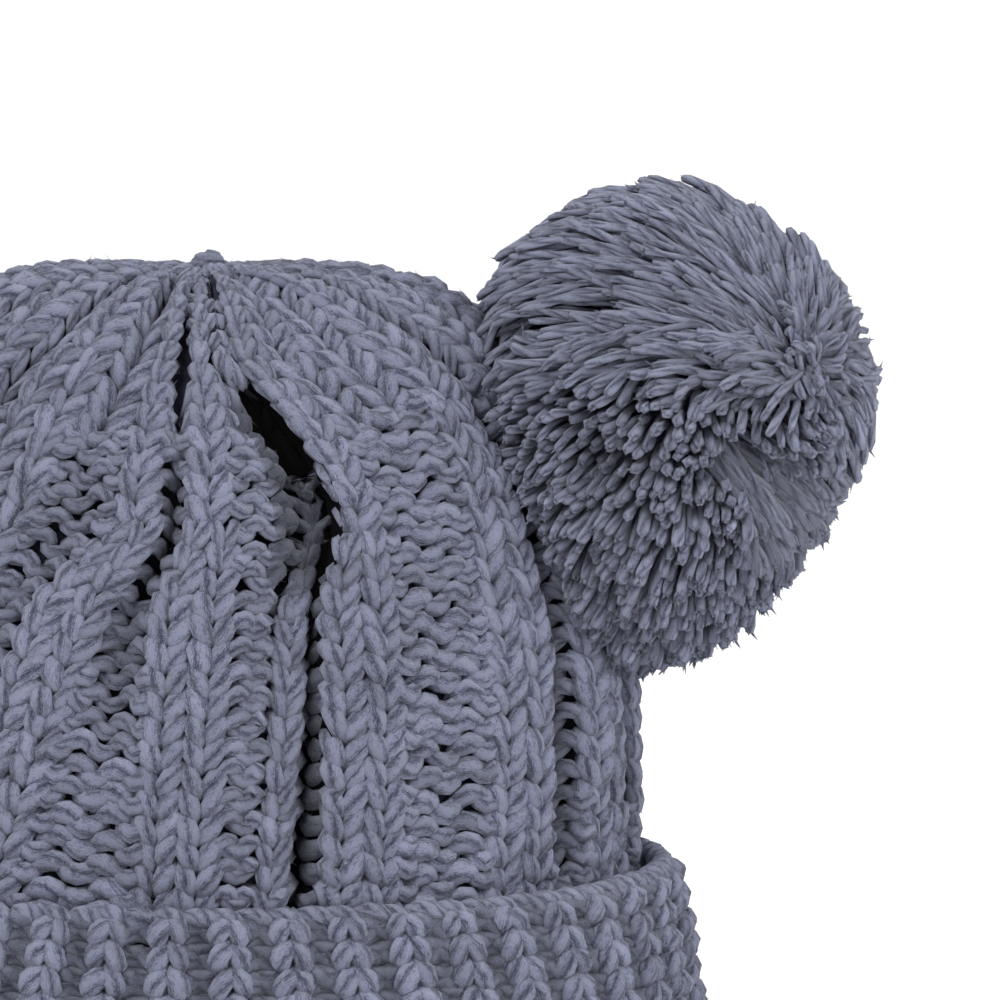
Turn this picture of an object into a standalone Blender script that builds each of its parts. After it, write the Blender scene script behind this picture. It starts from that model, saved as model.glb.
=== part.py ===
"""Knitted baby hat with two pompom ears.

The crown is a tube of ribbed knitting, two stitches plain and two stitches
purled, drawn together in the middle of the top. The brim is turned up as a
cuff. A pompom is sewn to each shoulder of the crown. Metres, +Z up, +X to the
wearer's left ear, and the front looks along -Y. The hat stands on its cuff,
with the origin on the surface below the middle of the hat.
"""

import math
from collections import namedtuple

import bmesh
import bpy
import numpy as np
from mathutils import Vector

# Overall form of the crown, measured over the crests of its ribs
CROWN_HALF_WIDTH = 0.0850
CROWN_HALF_DEPTH = 0.0600
CROWN_HEIGHT = 0.1675
KNIT_WALL = 0.0050

# Ribs of the crown: two plain stitches stand out, two purled ones fall back
PLAIN_PAIR_WIDTH = 0.0165
PURL_PAIR_WIDTH = 0.0150
RIB_SHOULDER_DROP = 0.0008
DEEPEST_FURROW = 0.0055
SHALLOWEST_FURROW = 0.0016
WIDEST_PAIRS_SHARE = 0.72
FOLD_CLOSING = 0.2
RIB_TOP_CURVE = 2.0
PURL_END = 0.67
FOLD_END = 0.745
TOP_RELIEF = 0.3
RELIEF_RUN = 0.006

# Gathered top
GATHER_DIMPLE = 0.0026
GATHER_RADIUS = 0.0055
RELIEF_END_SHARE = 0.93
KNOT_RADIUS = 0.0042
KNOT_HEIGHT = 0.0034

# Turned-up cuff
CUFF_HEIGHT = 0.0520
CUFF_TOP_THICKNESS = 0.0075
CUFF_THICKNESS = 0.0100
CUFF_FOLD_HEIGHT = 0.0065
CUFF_FLARE = 0.0045
CUFF_FLARE_CURVE = 1.2
CUFF_REPEATS = 46
CUFF_FIRST_RIB = 0.45
CUFF_FURROW = 0.0024
CUFF_LEAN = math.radians(7.0)

# Pompoms
POMPOM_HALF = Vector((0.0415, 0.0435, 0.0480))
POMPOM_REACH = 0.0895
POMPOM_RISE = 0.1338
POMPOM_FORWARD = 0.0060

# Small gaps between pieces that touch. A pompom reaches only part of the way into the
# crown's furrows.
SEAT_GAP = 0.0004
POMPOM_SEAT_GAP = 0.0005
POMPOM_FURROW_SHARE = 0.5

# Mesh fineness
RINGS_ABOVE_CUFF = 12
INNER_RINGS = 9
POMPOM_SEGMENTS = 28
POMPOM_RINGS = 16

YARN_COLOUR = (0.171, 0.184, 0.254, 1.0)
POMPOM_COLOUR = (0.160, 0.172, 0.238, 1.0)

# The crown's line from the cuff's fold to the gather, up its side and up its front:
# shares of the half width or half depth, and of the height.
Bend = namedtuple("Bend", "reach height")
SIDE_LINE = [
    Bend(1.000, 0.04),
    Bend(1.000, 0.25),
    Bend(0.998, 0.45),
    Bend(0.968, 0.60),
    Bend(0.895, 0.72),
    Bend(0.800, 0.83),
    Bend(0.690, 0.915),
    Bend(0.560, 0.966),
    Bend(0.400, 0.990),
    Bend(0.200, 0.998),
    Bend(0.000, 1.000),
]
FRONT_LINE = [
    Bend(1.000, 0.04),
    Bend(1.000, 0.20),
    Bend(0.995, 0.38),
    Bend(0.955, 0.55),
    Bend(0.870, 0.70),
    Bend(0.740, 0.825),
    Bend(0.560, 0.925),
    Bend(0.360, 0.978),
    Bend(0.180, 0.996),
    Bend(0.000, 1.000),
]

# Each row is a rib, by its angle in degrees round the hat from the front middle
# at four heights, by the width of its plain pair as a share of the full width, by
# the depth of the furrow after it as a share of what the furrow's width gives, and
# by how far its crest sinks at the same four heights, as a share of the deepest furrow.
Rib = namedtuple(
    "Rib",
    "at_cuff at_low at_middle at_top width fold sunk_cuff sunk_low sunk_middle sunk_top",
)
RIB_HEIGHTS = [0.24, 0.52, 0.60, 0.78]
CROWN_RIBS = [
    Rib(-3.5, -1.5, 1.5, -0.5, 1.00, 0.35, 0.0, 0.0, 0.0, 0.0),
    Rib(8.5, 12.6, 18.5, 4.0, 0.42, 1.85, 0.3, 0.5, 1.3, 1.3),
    Rib(20.3, 22.2, 24.6, 10.0, 1.00, 0.90, 0.0, 0.0, 0.0, 0.0),
    Rib(45.0, 48.0, 49.5, 42.0, 1.00, 1.00, 0.0, 0.0, 0.0, 0.0),
    Rib(67.0, 67.5, 65.5, 60.0, 1.00, 1.00, 0.0, 0.0, 0.0, 0.0),
    Rib(90.0, 88.5, 87.0, 86.0, 1.00, 1.00, 0.0, 0.0, 0.0, 0.2),
    Rib(108.0, 108.0, 107.5, 107.0, 1.00, 1.00, 0.0, 0.0, 0.0, 0.0),
    Rib(127.0, 126.5, 126.0, 125.0, 1.00, 1.00, 0.0, 0.0, 0.0, 0.2),
    Rib(145.0, 144.5, 144.0, 143.0, 1.00, 1.00, 0.0, 0.0, 0.0, 0.0),
    Rib(161.0, 162.0, 163.0, 162.0, 0.90, 1.30, 0.15, 0.3, 0.5, 0.5),
    Rib(177.0, 178.0, 179.0, 180.0, 1.00, 1.00, 0.0, 0.0, 0.0, 0.0),
    Rib(194.0, 196.0, 197.0, 198.0, 1.00, 1.00, 0.0, 0.0, 0.0, 0.2),
    Rib(211.0, 214.0, 216.0, 216.0, 1.00, 1.00, 0.0, 0.0, 0.0, 0.0),
    Rib(227.0, 231.5, 234.0, 234.0, 1.00, 1.00, 0.0, 0.0, 0.0, 0.2),
    Rib(242.0, 249.0, 252.0, 252.0, 1.00, 1.00, 0.0, 0.0, 0.0, 0.0),
    Rib(257.0, 266.0, 270.0, 271.0, 1.00, 1.00, 0.0, 0.0, 0.0, 0.2),
    Rib(273.0, 284.0, 289.0, 292.0, 1.00, 1.00, 0.0, 0.0, 0.0, 0.0),
    Rib(291.0, 302.5, 308.5, 314.0, 1.00, 0.60, 0.0, 0.0, 0.0, 0.0),
    Rib(310.0, 321.0, 328.0, 334.0, 1.00, 0.60, 0.0, 0.0, 0.1, 0.0),
    Rib(330.0, 341.5, 349.5, 352.0, 1.00, 0.80, 0.0, 0.0, 0.2, 0.0),
]

# The pompom's form: each row pushes its surface out, or in where the share is
# negative, round one direction. Mirrored for the left one.
Lobe = namedtuple("Lobe", "x y z share sharpness")
POMPOM_LOBES = [
    Lobe(0.75, -0.10, -0.65, -0.190, 2.5),
    Lobe(-0.62, -0.30, 0.72, 0.085, 4.0),
    Lobe(0.98, -0.15, 0.10, 0.025, 8.0),
    Lobe(0.92, -0.25, 0.30, 0.035, 6.0),
    Lobe(0.10, -0.10, 0.99, 0.020, 5.0),
    Lobe(-0.20, -0.45, -0.87, 0.040, 5.0),
    Lobe(0.15, 0.95, 0.10, -0.040, 3.0),
]


def smooth_step(value, low, high):
    """0 below low, 1 above high, and a smooth rise between them."""
    share = np.clip((value - low) / (high - low), 0.0, 1.0)
    return share * share * (3.0 - 2.0 * share)


def curve_through(values, places):
    """A smooth line through evenly numbered values, read at fractional numbers."""
    ends = [2 * values[0] - values[1]] + list(values) + [2 * values[-1] - values[-2]]
    spread = np.array(ends)
    lower = np.minimum(np.floor(places).astype(int), len(values) - 2)
    part = places - lower
    before, start, stop, after = (spread[lower + step] for step in range(4))
    return 0.5 * (
        2 * start
        + (stop - before) * part
        + (2 * before - 5 * start + 4 * stop - after) * part**2
        + (3 * start - before - 3 * stop + after) * part**3
    )


def profile(reach, line):
    """(distances from the axis, heights, shares of length) up one side of the crown."""
    places = np.linspace(0.0, len(line) - 1.0, 240)
    reaches = reach * curve_through([bend.reach for bend in line], places)
    heights = CROWN_HEIGHT * curve_through([bend.height for bend in line], places)
    heights = heights - heights[0] + CUFF_FOLD_HEIGHT
    heights *= CROWN_HEIGHT / heights[-1]
    reaches[-1] = 0.0
    below = np.clip(1.0 - heights / CUFF_HEIGHT, 0.0, 1.0)
    reaches += CUFF_FLARE * below**CUFF_FLARE_CURVE
    steps = np.hypot(np.diff(reaches), np.diff(heights))
    lengths = np.concatenate([[0.0], np.cumsum(steps)])
    return reaches, heights, lengths / lengths[-1]


SIDE = profile(CROWN_HALF_WIDTH, SIDE_LINE)
FRONT = profile(CROWN_HALF_DEPTH, FRONT_LINE)


def smooth_point(angle, share):
    """A point on the crown without ribs: angle round it, share of the way up it."""
    side_reach = np.interp(share, SIDE[2], SIDE[0])
    side_height = np.interp(share, SIDE[2], SIDE[1])
    front_reach = np.interp(share, FRONT[2], FRONT[0])
    front_height = np.interp(share, FRONT[2], FRONT[1])
    across = math.sin(angle)
    along = math.cos(angle)
    height = front_height * along**2 + side_height * across**2
    off_axis = math.hypot(side_reach * across, front_reach * along)
    height -= GATHER_DIMPLE * math.exp(-((off_axis / (2.0 * GATHER_RADIUS)) ** 2))
    return Vector((side_reach * across, -front_reach * along, height))


def smooth_normal(angle, share):
    """The outward direction at that point."""
    step = 1e-3
    low = max(share - step, 0.0)
    high = min(share + step, 0.995)
    around = smooth_point(angle + step, share) - smooth_point(angle - step, share)
    upward = smooth_point(angle, high) - smooth_point(angle, low)
    return around.cross(upward).normalized()


def arc_speed(angle, share):
    """Metres along the crown for each radian round it."""
    side_reach = np.interp(share, SIDE[2], SIDE[0])
    front_reach = np.interp(share, FRONT[2], FRONT[0])
    return math.hypot(side_reach * math.cos(angle), front_reach * math.sin(angle))


def four_point(cuff, low, middle, top, share):
    """The value of a table row's four columns at this share of the way up."""
    value = float(np.interp(share, RIB_HEIGHTS[:3], [cuff, low, middle]))
    upper = (share - RIB_HEIGHTS[2]) / (RIB_HEIGHTS[3] - RIB_HEIGHTS[2])
    return value + (top - middle) * min(max(upper, 0.0), 1.0) ** RIB_TOP_CURVE


def rib_angle(rib, share):
    return math.radians(four_point(rib.at_cuff, rib.at_low, rib.at_middle, rib.at_top, share))


def rib_sink(rib, share):
    sunk = four_point(rib.sunk_cuff, rib.sunk_low, rib.sunk_middle, rib.sunk_top, share)
    return sunk * DEEPEST_FURROW * (1.0 - smooth_step(share, FOLD_END - 0.03, FOLD_END + 0.02))


def relief_strength(point, share):
    """0 where the ribs are pressed flat, under the cuff and at the gather, and 1 between."""
    above_cuff = smooth_step(point.z, CUFF_HEIGHT - RELIEF_RUN, CUFF_HEIGHT + RELIEF_RUN)
    below_gather = 1.0 - smooth_step(share, RELIEF_END_SHARE, 0.985)
    return float(above_cuff * below_gather)


def gap_after(index, share):
    """Angle from this rib's middle to the next one's."""
    here = rib_angle(CROWN_RIBS[index], share)
    following = rib_angle(CROWN_RIBS[(index + 1) % len(CROWN_RIBS)], share)
    return (following - here) % math.tau


def pair_room(index, other, gap, fold):
    """The most angle half of a rib's pair takes of the gap to a neighbour: more at a deep fold."""
    share = WIDEST_PAIRS_SHARE + FOLD_CLOSING * max(fold - 1.0, 0.0)
    width = CROWN_RIBS[index].width
    return gap * share * width / (width + CROWN_RIBS[other].width)


def half_pair(index, share):
    """Half of a rib's plain pair, as an angle."""
    rib = CROWN_RIBS[index]
    before = (index - 1) % len(CROWN_RIBS)
    after = (index + 1) % len(CROWN_RIBS)
    speed = max(arc_speed(rib_angle(rib, share), share), 1e-4)
    room_after = pair_room(index, after, gap_after(index, share), rib.fold)
    room_before = pair_room(index, before, gap_after(before, share), CROWN_RIBS[before].fold)
    return min(0.5 * PLAIN_PAIR_WIDTH * rib.width / speed, room_after, room_before)


def furrow_depth(fold, furrow_angle, speed, share):
    """A narrow furrow is deep, because its two purled stitches fold inwards.

    Near the top every stitch is plain, and the furrows run out.
    """
    width = min(furrow_angle * speed, PURL_PAIR_WIDTH)
    depth = 0.5 * fold * math.sqrt(PURL_PAIR_WIDTH**2 - width**2)
    depth = min(depth, DEEPEST_FURROW * max(fold, 1.0))
    end = FOLD_END if fold > 1.0 else PURL_END
    depth *= 1.0 - (1.0 - TOP_RELIEF) * smooth_step(share, end - 0.03, end + 0.02)
    return max(depth, SHALLOWEST_FURROW)


# Where a section is sampled from one rib's middle to the next one's: over the right half
# of the rib's plain pair, the furrow, and the left half of the next pair.
Station = namedtuple("Station", "zone place depth inner_depth")
STATIONS = [
    Station("rib", 0.0, 0.0, 0.45),
    Station("rib", 1.0, 0.0, 0.75),
    Station("furrow", 0.26, 0.84, 0.95),
    Station("furrow", 0.50, 1.0, 1.0),
    Station("furrow", 0.74, 0.84, 0.95),
    Station("next rib", 1.0, 0.0, 0.75),
]


def crown_section(share, inside=False, clearance=0.0, furrow_share=1.0):
    """One closed ring of the crown's outer or inner surface."""
    ring = []
    count = len(CROWN_RIBS)
    for index, rib in enumerate(CROWN_RIBS):
        middle = rib_angle(rib, share)
        gap = gap_after(index, share)
        half = half_pair(index, share)
        next_half = half_pair((index + 1) % count, share)
        furrow = gap - half - next_half
        speed = max(arc_speed(middle + 0.5 * gap, share), 1e-4)
        deep = furrow_depth(rib.fold, furrow, speed, share)
        sink_here = rib_sink(rib, share)
        sink_next = rib_sink(CROWN_RIBS[(index + 1) % count], share)
        for station in STATIONS:
            if station.zone == "rib":
                angle = middle + station.place * half
                sink = sink_here
            elif station.zone == "furrow":
                angle = middle + half + station.place * furrow
                sink = sink_here * (1.0 - station.place) ** 3 + sink_next * station.place**3
            else:
                angle = middle + gap - station.place * next_half
                sink = sink_next
            shoulder = RIB_SHOULDER_DROP if station.place == 1.0 else 0.0
            point = smooth_point(angle, share)
            strength = relief_strength(point, share)
            drop = furrow_share * strength * (max(station.depth * deep, sink) + shoulder)
            if inside:
                drop = KNIT_WALL + strength * max(station.inner_depth * deep, sink)
            ring.append(point - smooth_normal(angle, share) * (drop - clearance))
    return ring


def share_at_height(height):
    """How far up the crown its front reaches this height."""
    return float(np.interp(height, FRONT[1], FRONT[2]))


def outer_shares():
    """The heights at which the crown's outer surface is sampled, bottom to top."""
    tucked = [0.0, share_at_height(0.5 * CUFF_HEIGHT)]
    start = share_at_height(CUFF_HEIGHT - RELIEF_RUN)
    spread = np.linspace(start, 0.975, RINGS_ABOVE_CUFF)
    return tucked + [float(share) for share in spread]


def inner_shares():
    """The same for the inner surface, which stops below the gather."""
    return [float(share) for share in np.linspace(0.93, 0.0, INNER_RINGS)]


def collection_named(name):
    made = bpy.data.collections.new(name)
    bpy.context.scene.collection.children.link(made)
    return made


def material_named(name, colour, roughness):
    made = bpy.data.materials.new(name)
    made.use_nodes = True
    shader = made.node_tree.nodes["Principled BSDF"]
    shader.inputs["Base Color"].default_value = colour
    shader.inputs["Roughness"].default_value = roughness
    shader.inputs["Metallic"].default_value = 0.0
    made.diffuse_color = colour
    return made


def loft(name, rings, collection, material, closed_loop=False):
    """A solid through the rings: joined end to end, or capped at its first and last ring."""
    mesh = bmesh.new()
    rows = [[mesh.verts.new(point) for point in ring] for ring in rings]
    pairs = list(zip(rows, rows[1:]))
    if closed_loop:
        pairs.append((rows[-1], rows[0]))
    for low, high in pairs:
        for here in range(len(low)):
            there = (here + 1) % len(low)
            mesh.faces.new((low[here], low[there], high[there], high[here]))
    if not closed_loop:
        for row in (rows[0], rows[-1]):
            centre = sum((vert.co for vert in row), Vector()) / len(row)
            tip = mesh.verts.new(centre)
            for here in range(len(row)):
                mesh.faces.new((row[here - 1], row[here], tip))
    bmesh.ops.recalc_face_normals(mesh, faces=mesh.faces)
    data = bpy.data.meshes.new(name)
    mesh.to_mesh(data)
    mesh.free()
    data.materials.append(material)
    data.shade_smooth()
    made = bpy.data.objects.new(name, data)
    collection.objects.link(made)
    return made


def make_crown(collection, material):
    """The hollow knitted crown, open at the bottom and gathered at the top.

    Its rings run down the inside and up the outside, so both ends that are capped
    are at the top: the roof of the hollow, and the gathered middle outside.
    """
    inner = [crown_section(share, inside=True) for share in inner_shares()]
    outer = [crown_section(share) for share in outer_shares()]
    for ring in (inner[-1], outer[0]):
        for point in ring:
            point.z = CUFF_FOLD_HEIGHT
    return loft("crown", inner + outer, collection, material)


def cuff_profile():
    """(outward offset from the crown, height, share of the furrow) round the cuff's section."""
    gap = SEAT_GAP
    top = CUFF_HEIGHT
    thin = CUFF_TOP_THICKNESS
    thick = CUFF_THICKNESS
    fold = CUFF_FOLD_HEIGHT
    inner_toe = -KNIT_WALL
    return [
        (gap, fold - gap, 0.0),
        (gap, 0.55 * top, 0.0),
        (gap, top - 0.55 * thin, 0.0),
        (0.30 * thin, top - 0.08 * thin, 0.0),
        (0.66 * thin, top, 0.15),
        (0.93 * thin, top - 0.25 * thin, 0.5),
        (thin + 0.04 * thick, top - 0.60 * thin, 1.0),
        (0.94 * thick, 0.68 * top, 1.0),
        (thick, 0.45 * top, 1.0),
        (thick, 0.22 * top, 1.0),
        (0.90 * thick, 0.08 * top, 0.8),
        (0.55 * thick, 0.0, 0.2),
        (0.5 * inner_toe, 0.0, 0.0),
        (inner_toe, 0.45 * fold, 0.0),
        (inner_toe, fold - gap, 0.0),
    ]


def cuff_base(angle, height):
    """The crown's outer line that the cuff is wrapped round, and its outward direction."""
    below = min(max(1.0 - height / CUFF_HEIGHT, 0.0), 1.0)
    flare = CUFF_FLARE * below**CUFF_FLARE_CURVE
    wide = CROWN_HALF_WIDTH + flare
    deep = CROWN_HALF_DEPTH + flare
    point = Vector((wide * math.sin(angle), -deep * math.cos(angle), height))
    outward = Vector((deep * math.sin(angle), -wide * math.cos(angle), 0.0))
    return point, outward.normalized()


def cuff_turn():
    """Shares of the way round the cuff's outer face, and the angles at them."""
    angles = np.linspace(0.0, math.tau, 721)
    wide = CROWN_HALF_WIDTH + 0.5 * CUFF_FLARE + CUFF_THICKNESS
    deep = CROWN_HALF_DEPTH + 0.5 * CUFF_FLARE + CUFF_THICKNESS
    steps = np.hypot(wide * np.diff(np.sin(angles)), deep * np.diff(np.cos(angles)))
    lengths = np.concatenate([[0.0], np.cumsum(steps)])
    return lengths / lengths[-1], angles


CUFF_TURN = cuff_turn()


def cuff_angle(place, height):
    """The angle of a cuff column, which leans away from the front and back middles downwards."""
    spread = float(np.interp((place + CUFF_FIRST_RIB) / CUFF_REPEATS, *CUFF_TURN))
    down = 1.0 - min(height / CUFF_HEIGHT, 1.0)
    return spread + CUFF_LEAN * down * math.sin(2.0 * spread)


def make_cuff(collection, material):
    """The turned-up brim: a ring whose outer face has one plain and one purled column in turn."""
    rings = []
    for offset, height, furrow in cuff_profile():
        ring = []
        for repeat in range(CUFF_REPEATS):
            for place, depth in ((-0.22, 0.0), (0.22, 0.0), (0.5, 1.0)):
                angle = cuff_angle(repeat + place, height)
                point, outward = cuff_base(angle, height)
                ring.append(point + outward * (offset - depth * furrow * CUFF_FURROW))
        rings.append(ring)
    return loft("cuff", rings, collection, material, closed_loop=True)


def make_knot(collection, material):
    """The drawn-up end of the yarn that closes the top."""
    mesh = bmesh.new()
    bmesh.ops.create_uvsphere(mesh, u_segments=16, v_segments=10, radius=1.0)
    seat = smooth_point(0.0, 1.0).z + 1.5 * SEAT_GAP
    for vert in mesh.verts:
        vert.co.x *= KNOT_RADIUS
        vert.co.y *= KNOT_RADIUS
        vert.co.z *= 0.5 * KNOT_HEIGHT
    data = bpy.data.meshes.new("gather_knot")
    mesh.to_mesh(data)
    mesh.free()
    data.materials.append(material)
    data.shade_smooth()
    made = bpy.data.objects.new("gather_knot", data)
    made.location = (0.0, 0.0, seat + 0.5 * KNOT_HEIGHT)
    collection.objects.link(made)
    return made


def pompom_swell(direction):
    """How far the pompom's surface stands from its plain form in this direction."""
    swell = 1.0
    for lobe in POMPOM_LOBES:
        toward = Vector((lobe.x, lobe.y, lobe.z)).normalized()
        swell += lobe.share * max(direction.dot(toward), 0.0) ** lobe.sharpness
    return swell


def make_pompom(name, side, collection, material, cutter):
    """A pompom on one shoulder, hollowed where it presses on the crown."""
    mesh = bmesh.new()
    bmesh.ops.create_uvsphere(
        mesh, u_segments=POMPOM_SEGMENTS, v_segments=POMPOM_RINGS, radius=1.0
    )
    for vert in mesh.verts:
        swell = pompom_swell(vert.co.normalized())
        vert.co = Vector(
            (
                side * vert.co.x * POMPOM_HALF.x * swell,
                vert.co.y * POMPOM_HALF.y * swell,
                vert.co.z * POMPOM_HALF.z * swell,
            )
        )
    bmesh.ops.recalc_face_normals(mesh, faces=mesh.faces)
    data = bpy.data.meshes.new(name)
    mesh.to_mesh(data)
    mesh.free()
    data.materials.append(material)
    data.shade_smooth()
    made = bpy.data.objects.new(name, data)
    made.location = (side * POMPOM_REACH, -POMPOM_FORWARD, POMPOM_RISE)
    collection.objects.link(made)
    bite = made.modifiers.new("seat on the crown", "BOOLEAN")
    bite.operation = "DIFFERENCE"
    bite.object = cutter
    return made


def make_crown_cutter(collection, material):
    """The crown's outer form, filled, with a gap all round and its furrows half filled."""
    rings = [
        crown_section(share, clearance=POMPOM_SEAT_GAP, furrow_share=POMPOM_FURROW_SHARE)
        for share in outer_shares()
    ]
    made = loft("crown_cutter", rings, collection, material)
    made.hide_render = True
    made.display_type = "WIRE"
    return made


def main():
    for old in list(bpy.data.objects):
        bpy.data.objects.remove(old, do_unlink=True)
    hat = collection_named("baby_hat")
    cutters = collection_named("cutters")
    yarn = material_named("yarn", YARN_COLOUR, 0.95)
    tuft = material_named("pompom_yarn", POMPOM_COLOUR, 1.0)
    make_crown(hat, yarn)
    make_cuff(hat, yarn)
    make_knot(hat, yarn)
    cutter = make_crown_cutter(cutters, yarn)
    for name, side in (("pompom_right", 1.0), ("pompom_left", -1.0)):
        make_pompom(name, side, hat, tuft, cutter)


main()
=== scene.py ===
"""Knitted baby hat with pompom ears: each stitch of its crown and cuff, and the pompoms' cut yarn."""

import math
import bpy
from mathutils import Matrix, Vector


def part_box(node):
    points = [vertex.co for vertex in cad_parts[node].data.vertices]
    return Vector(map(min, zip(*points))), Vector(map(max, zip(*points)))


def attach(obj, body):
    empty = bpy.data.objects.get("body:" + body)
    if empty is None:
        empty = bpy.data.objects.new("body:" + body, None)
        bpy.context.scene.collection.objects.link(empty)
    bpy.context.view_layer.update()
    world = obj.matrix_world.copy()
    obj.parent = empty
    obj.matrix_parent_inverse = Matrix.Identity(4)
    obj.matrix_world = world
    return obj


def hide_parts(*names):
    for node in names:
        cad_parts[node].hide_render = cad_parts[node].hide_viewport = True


bl_info = {
    "name": "Knitted baby hat",
    "version": (1, 0, 0),
    "blender": (4, 5, 0),
    "location": "3D View > Sidebar > Baby Hat",
    "description": "Chunky ribbed baby hat with a turned-up cuff and two pompom ears, on a pale floor",
    "category": "Add Mesh",
}

from collections import namedtuple

import bpy
import numpy as np
from bpy.props import FloatProperty, FloatVectorProperty, IntProperty, PointerProperty
from mathutils import Vector

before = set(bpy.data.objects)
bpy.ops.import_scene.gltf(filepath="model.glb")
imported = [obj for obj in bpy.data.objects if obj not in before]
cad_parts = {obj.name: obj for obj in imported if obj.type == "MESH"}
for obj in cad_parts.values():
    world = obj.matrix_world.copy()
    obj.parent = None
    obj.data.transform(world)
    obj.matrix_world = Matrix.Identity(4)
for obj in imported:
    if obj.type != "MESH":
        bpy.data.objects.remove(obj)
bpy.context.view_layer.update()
KNOT_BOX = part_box("gather_knot")

# Sizes that the stitches share with the crown, the cuff and the pompoms they lie on
CROWN_HALF_WIDTH = 0.0850
CROWN_HALF_DEPTH = 0.0600
CROWN_HEIGHT = 0.1675
KNIT_WALL = 0.0050
PLAIN_PAIR_WIDTH = 0.0165
PURL_PAIR_WIDTH = 0.0150
RIB_SHOULDER_DROP = 0.0008
DEEPEST_FURROW = 0.0055
SHALLOWEST_FURROW = 0.0016
WIDEST_PAIRS_SHARE = 0.72
FOLD_CLOSING = 0.2
RIB_TOP_CURVE = 2.0
PURL_END = 0.67
FOLD_END = 0.745
TOP_RELIEF = 0.3
RELIEF_RUN = 0.006
GATHER_DIMPLE = 0.0026
GATHER_RADIUS = 0.0055
RELIEF_END_SHARE = 0.93
CUFF_HEIGHT = 0.0520
CUFF_TOP_THICKNESS = 0.0075
CUFF_THICKNESS = 0.0100
CUFF_FOLD_HEIGHT = 0.0065
CUFF_FLARE = 0.0045
CUFF_FLARE_CURVE = 1.2
CUFF_REPEATS = 46
CUFF_FIRST_RIB = 0.45
CUFF_FURROW = 0.0024
CUFF_LEAN = math.radians(7.0)
SEAT_GAP = 0.0004

# Where the cast-on edge and the first row of the cuff lie, from its inner top edge, and the
# share of a repeat that a plain stitch, a purled one and a loop of the edge take
CUFF_EDGE_ROW = 0.0086
CUFF_FIRST_ROW = 0.0125
CUFF_PLAIN_SHARE = 0.66
CUFF_PURL_SHARE = 0.52
CUFF_EDGE_SHARE = 0.62

# A pompom's half sizes, and the place of its middle: out to the side, up from the floor and forward
POMPOM_HALF = np.array([0.0415, 0.0435, 0.0480])
POMPOM_REACH = 0.0895
POMPOM_RISE = 0.1338
POMPOM_FORWARD = 0.0060

# How far down behind the cuff the crown's rows start, and the share of the way up where they end
ROWS_BEHIND_CUFF = 0.0115
ROWS_END = 0.972

# Least room in metres: half of a rib knitted as two stitches and as one, the gap between ribs
# for two plain stitches and for one, the gap for two purled stitches and for the bows at their
# sides, and a purled stitch's own width
RIB_PAIR_HALF = 0.0056
RIB_SINGLE_HALF = 0.0005
PLAIN_PAIR_GAP = 0.0120
PLAIN_SINGLE_GAP = 0.0026
PURL_PAIR_GAP = 0.0060
PURL_SIDE_GAP = 0.0100
PURL_WIDTH = 0.0026

# Stitches as wide as this keep their width where they are drawn together
PLAIN_DRAWN_WIDTH = 0.0052
PURL_DRAWN_WIDTH = 0.0064

# In the deep fold no stitch is knitted where its rib or its own place has sunk this far
SUNKEN_RIB = 0.0045
SUNKEN_RIB_START = 0.64
SUNKEN_PLAIN = 0.0058
SUNKEN_PURL = 0.0060

# Height of the relief inside the hat, and how much of it rises above the wall's inner form
INSIDE_RELIEF = 0.0013
INSIDE_LIFT = 0.0006

# Length of the hairs on the stitches, and how much they stray
HAIR = 0.0014
HAIR_SPREAD = 0.30

# Height that the camera looks at, and how far the view is moved across and up, in view widths
VIEW_HEIGHT = 0.093
VIEW_SHIFT = (0.298, 0.143)

# Painted shade: how much darker the yarn's colour is made in the crown's furrows, in its deepest folds and in
# the cuff's furrows
FURROW_PAINTED_SHADE = 0.20
FOLD_PAINTED_SHADE = 0.62
CUFF_PAINTED_SHADE = 0.58

# The crown's outline up its sides and up its front, in shares of its half size and its height
Bend = namedtuple("Bend", "reach height")
SIDE_LINE = [
    Bend(1.000, 0.04),
    Bend(1.000, 0.25),
    Bend(0.998, 0.45),
    Bend(0.968, 0.60),
    Bend(0.895, 0.72),
    Bend(0.800, 0.83),
    Bend(0.690, 0.915),
    Bend(0.560, 0.966),
    Bend(0.400, 0.990),
    Bend(0.200, 0.998),
    Bend(0.000, 1.000),
]
FRONT_LINE = [
    Bend(1.000, 0.04),
    Bend(1.000, 0.20),
    Bend(0.995, 0.38),
    Bend(0.955, 0.55),
    Bend(0.870, 0.70),
    Bend(0.740, 0.825),
    Bend(0.560, 0.925),
    Bend(0.360, 0.978),
    Bend(0.180, 0.996),
    Bend(0.000, 1.000),
]

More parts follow.
